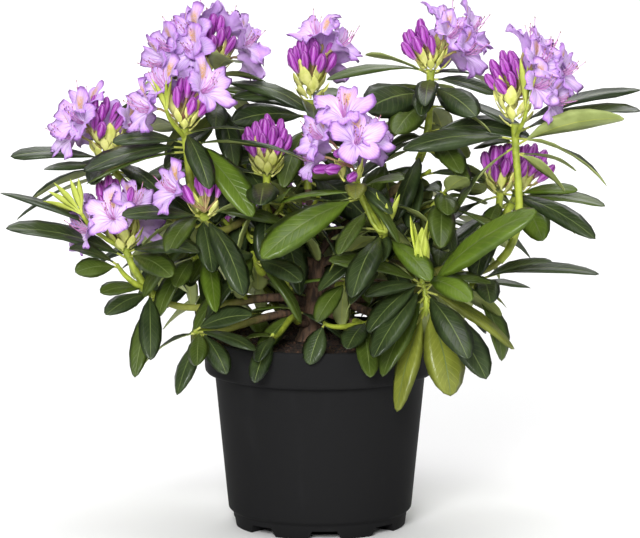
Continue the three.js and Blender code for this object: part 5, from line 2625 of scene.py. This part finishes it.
    def anthers(self) -> Object:
        """Makes the joined mesh of all anthers.

        Returns:
            The mesh.
        """
        plan = self.stamen
        parts = MeshParts()
        faces = [(0, 2, 3), (0, 3, 4), (0, 4, 5), (0, 5, 2), (1, 3, 2), (1, 4, 3), (1, 5, 4), (1, 2, 5)]
        for flower in self.flowers(True):
            upper, left = self.axes(flower)
            for i in range(plan.count):
                *_, before, end = self.filament(flower, i)
                way = unit(end - before)
                points = [end + way * plan.anther_ends[0], end - way * plan.anther_ends[1]]
                points += [end + side * plan.anther_half for side in (upper, left, -upper, -left)]
                parts.add(np.array(points), faces)
        return parts.mesh("anthers", self.anther_brown.make())

    def build(self) -> list[Object]:
        """Makes all pieces of the blossom."""
        return [self.petals(), self.buds(), self.pedicels(), self.filaments(), self.anthers()]

    def dress(self, things: list[Object]) -> None:
        """Gives the blossom its place in the part."""
        for thing in things:
            take(thing, "foliage")


@dataclass(frozen=True)
class Lamp:
    """A soft square light: its place and aim in metres, its side and its power."""

    name: str
    place: Point
    side: float
    power: float
    aim: Point = (0, 0, 0.255)


@dataclass
class Studio:
    """Pale floor, soft light and the camera at the photograph's angle."""

    aim: Point = (0, 0, 0.255)
    elevation: float = 8.8
    distance: float = 4.5
    width: float = 0.632
    sensor: float = 36
    ambient: float = 0.24
    floor_half: float = 9
    floor_grey: float = 0.92
    floor_roughness: float = 0.8
    lamps: tuple[Lamp, ...] = (
        Lamp("key", (-0.5, -3.2, 1.6), 1.2, 128),
        Lamp("fill", (2.2, -2.2, 1.2), 1.6, 11),
        Lamp("top", (0.1, -0.3, 2.7), 1.6, 24),
        Lamp("backdrop", (0, 4.0, 3.4), 5, 230, (0, 4.1, 0)),
    )

    def build(self) -> None:
        """Sets the stage."""
        self.floor()
        for lamp in self.lamps:
            self.light(lamp)
        world = bpy.data.worlds.new("studio")
        world.use_nodes = True
        background = world.node_tree.nodes["Background"].inputs
        background["Color"].default_value = (1, 1, 1, 1)
        background["Strength"].default_value = self.ambient
        bpy.context.scene.world = world
        bpy.context.scene.view_settings.view_transform = "Standard"
        self.camera()

    def floor(self) -> None:
        """Lays the floor."""
        half = self.floor_half
        mesh = bpy.data.meshes.new("floor")
        corners = [(-half, -half, 0), (half, -half, 0), (half, half, 0), (-half, half, 0)]
        mesh.from_pydata(corners, [], [(0, 1, 2, 3)])
        pale = (self.floor_grey,) * 3
        finish = Shader("pale_floor").finish(base_color=pale, roughness=self.floor_roughness)
        mesh.materials.append(finish)
        link(bpy.data.objects.new("floor", mesh))

    def light(self, lamp: Lamp) -> None:
        """Hangs a light.

        Args:
            lamp: the light.
        """
        area = bpy.data.lights.new(lamp.name, "AREA")
        area.size = lamp.side
        area.energy = lamp.power
        thing = link(bpy.data.objects.new(lamp.name, area))
        thing.location = lamp.place
        thing.rotation_euler = (Vector(lamp.aim) - Vector(lamp.place)).to_track_quat("-Z", "Y").to_euler()

    def camera(self) -> None:
        """Sets the camera."""
        lens = bpy.data.cameras.new("camera")
        lens.sensor_width = self.sensor
        lens.lens = self.sensor * self.distance / self.width
        thing = link(bpy.data.objects.new("camera", lens))
        tilt = math.radians(self.elevation)
        away = Vector((0, -math.cos(tilt), math.sin(tilt))) * self.distance
        thing.location = Vector(self.aim) + away
        thing.rotation_euler = (-away).to_track_quat("-Z", "Y").to_euler()
        bpy.context.scene.camera = thing


def main() -> None:
    """Builds and dresses the pieces in order."""
    logging.basicConfig(level=logging.INFO, format="%(name)s: %(message)s")
    pot = Pot()
    pot.dress(pot.build())
    peat = Peat()
    peat.dress(peat.build(), peat.crumbs())
    shrub = Shrub()
    shrub.grow()
    LOG.info("grown: %d leaves, %d flowers", len(shrub.leaves), len(shrub.flowers))
    wood = Wood(shrub)
    wood.dress(*wood.build())
    foliage = Foliage(shrub)
    foliage.dress(foliage.build())
    blossom = Blossom(shrub)
    blossom.dress(blossom.build())
    Studio().build()


if __name__ == "__main__":
    main()
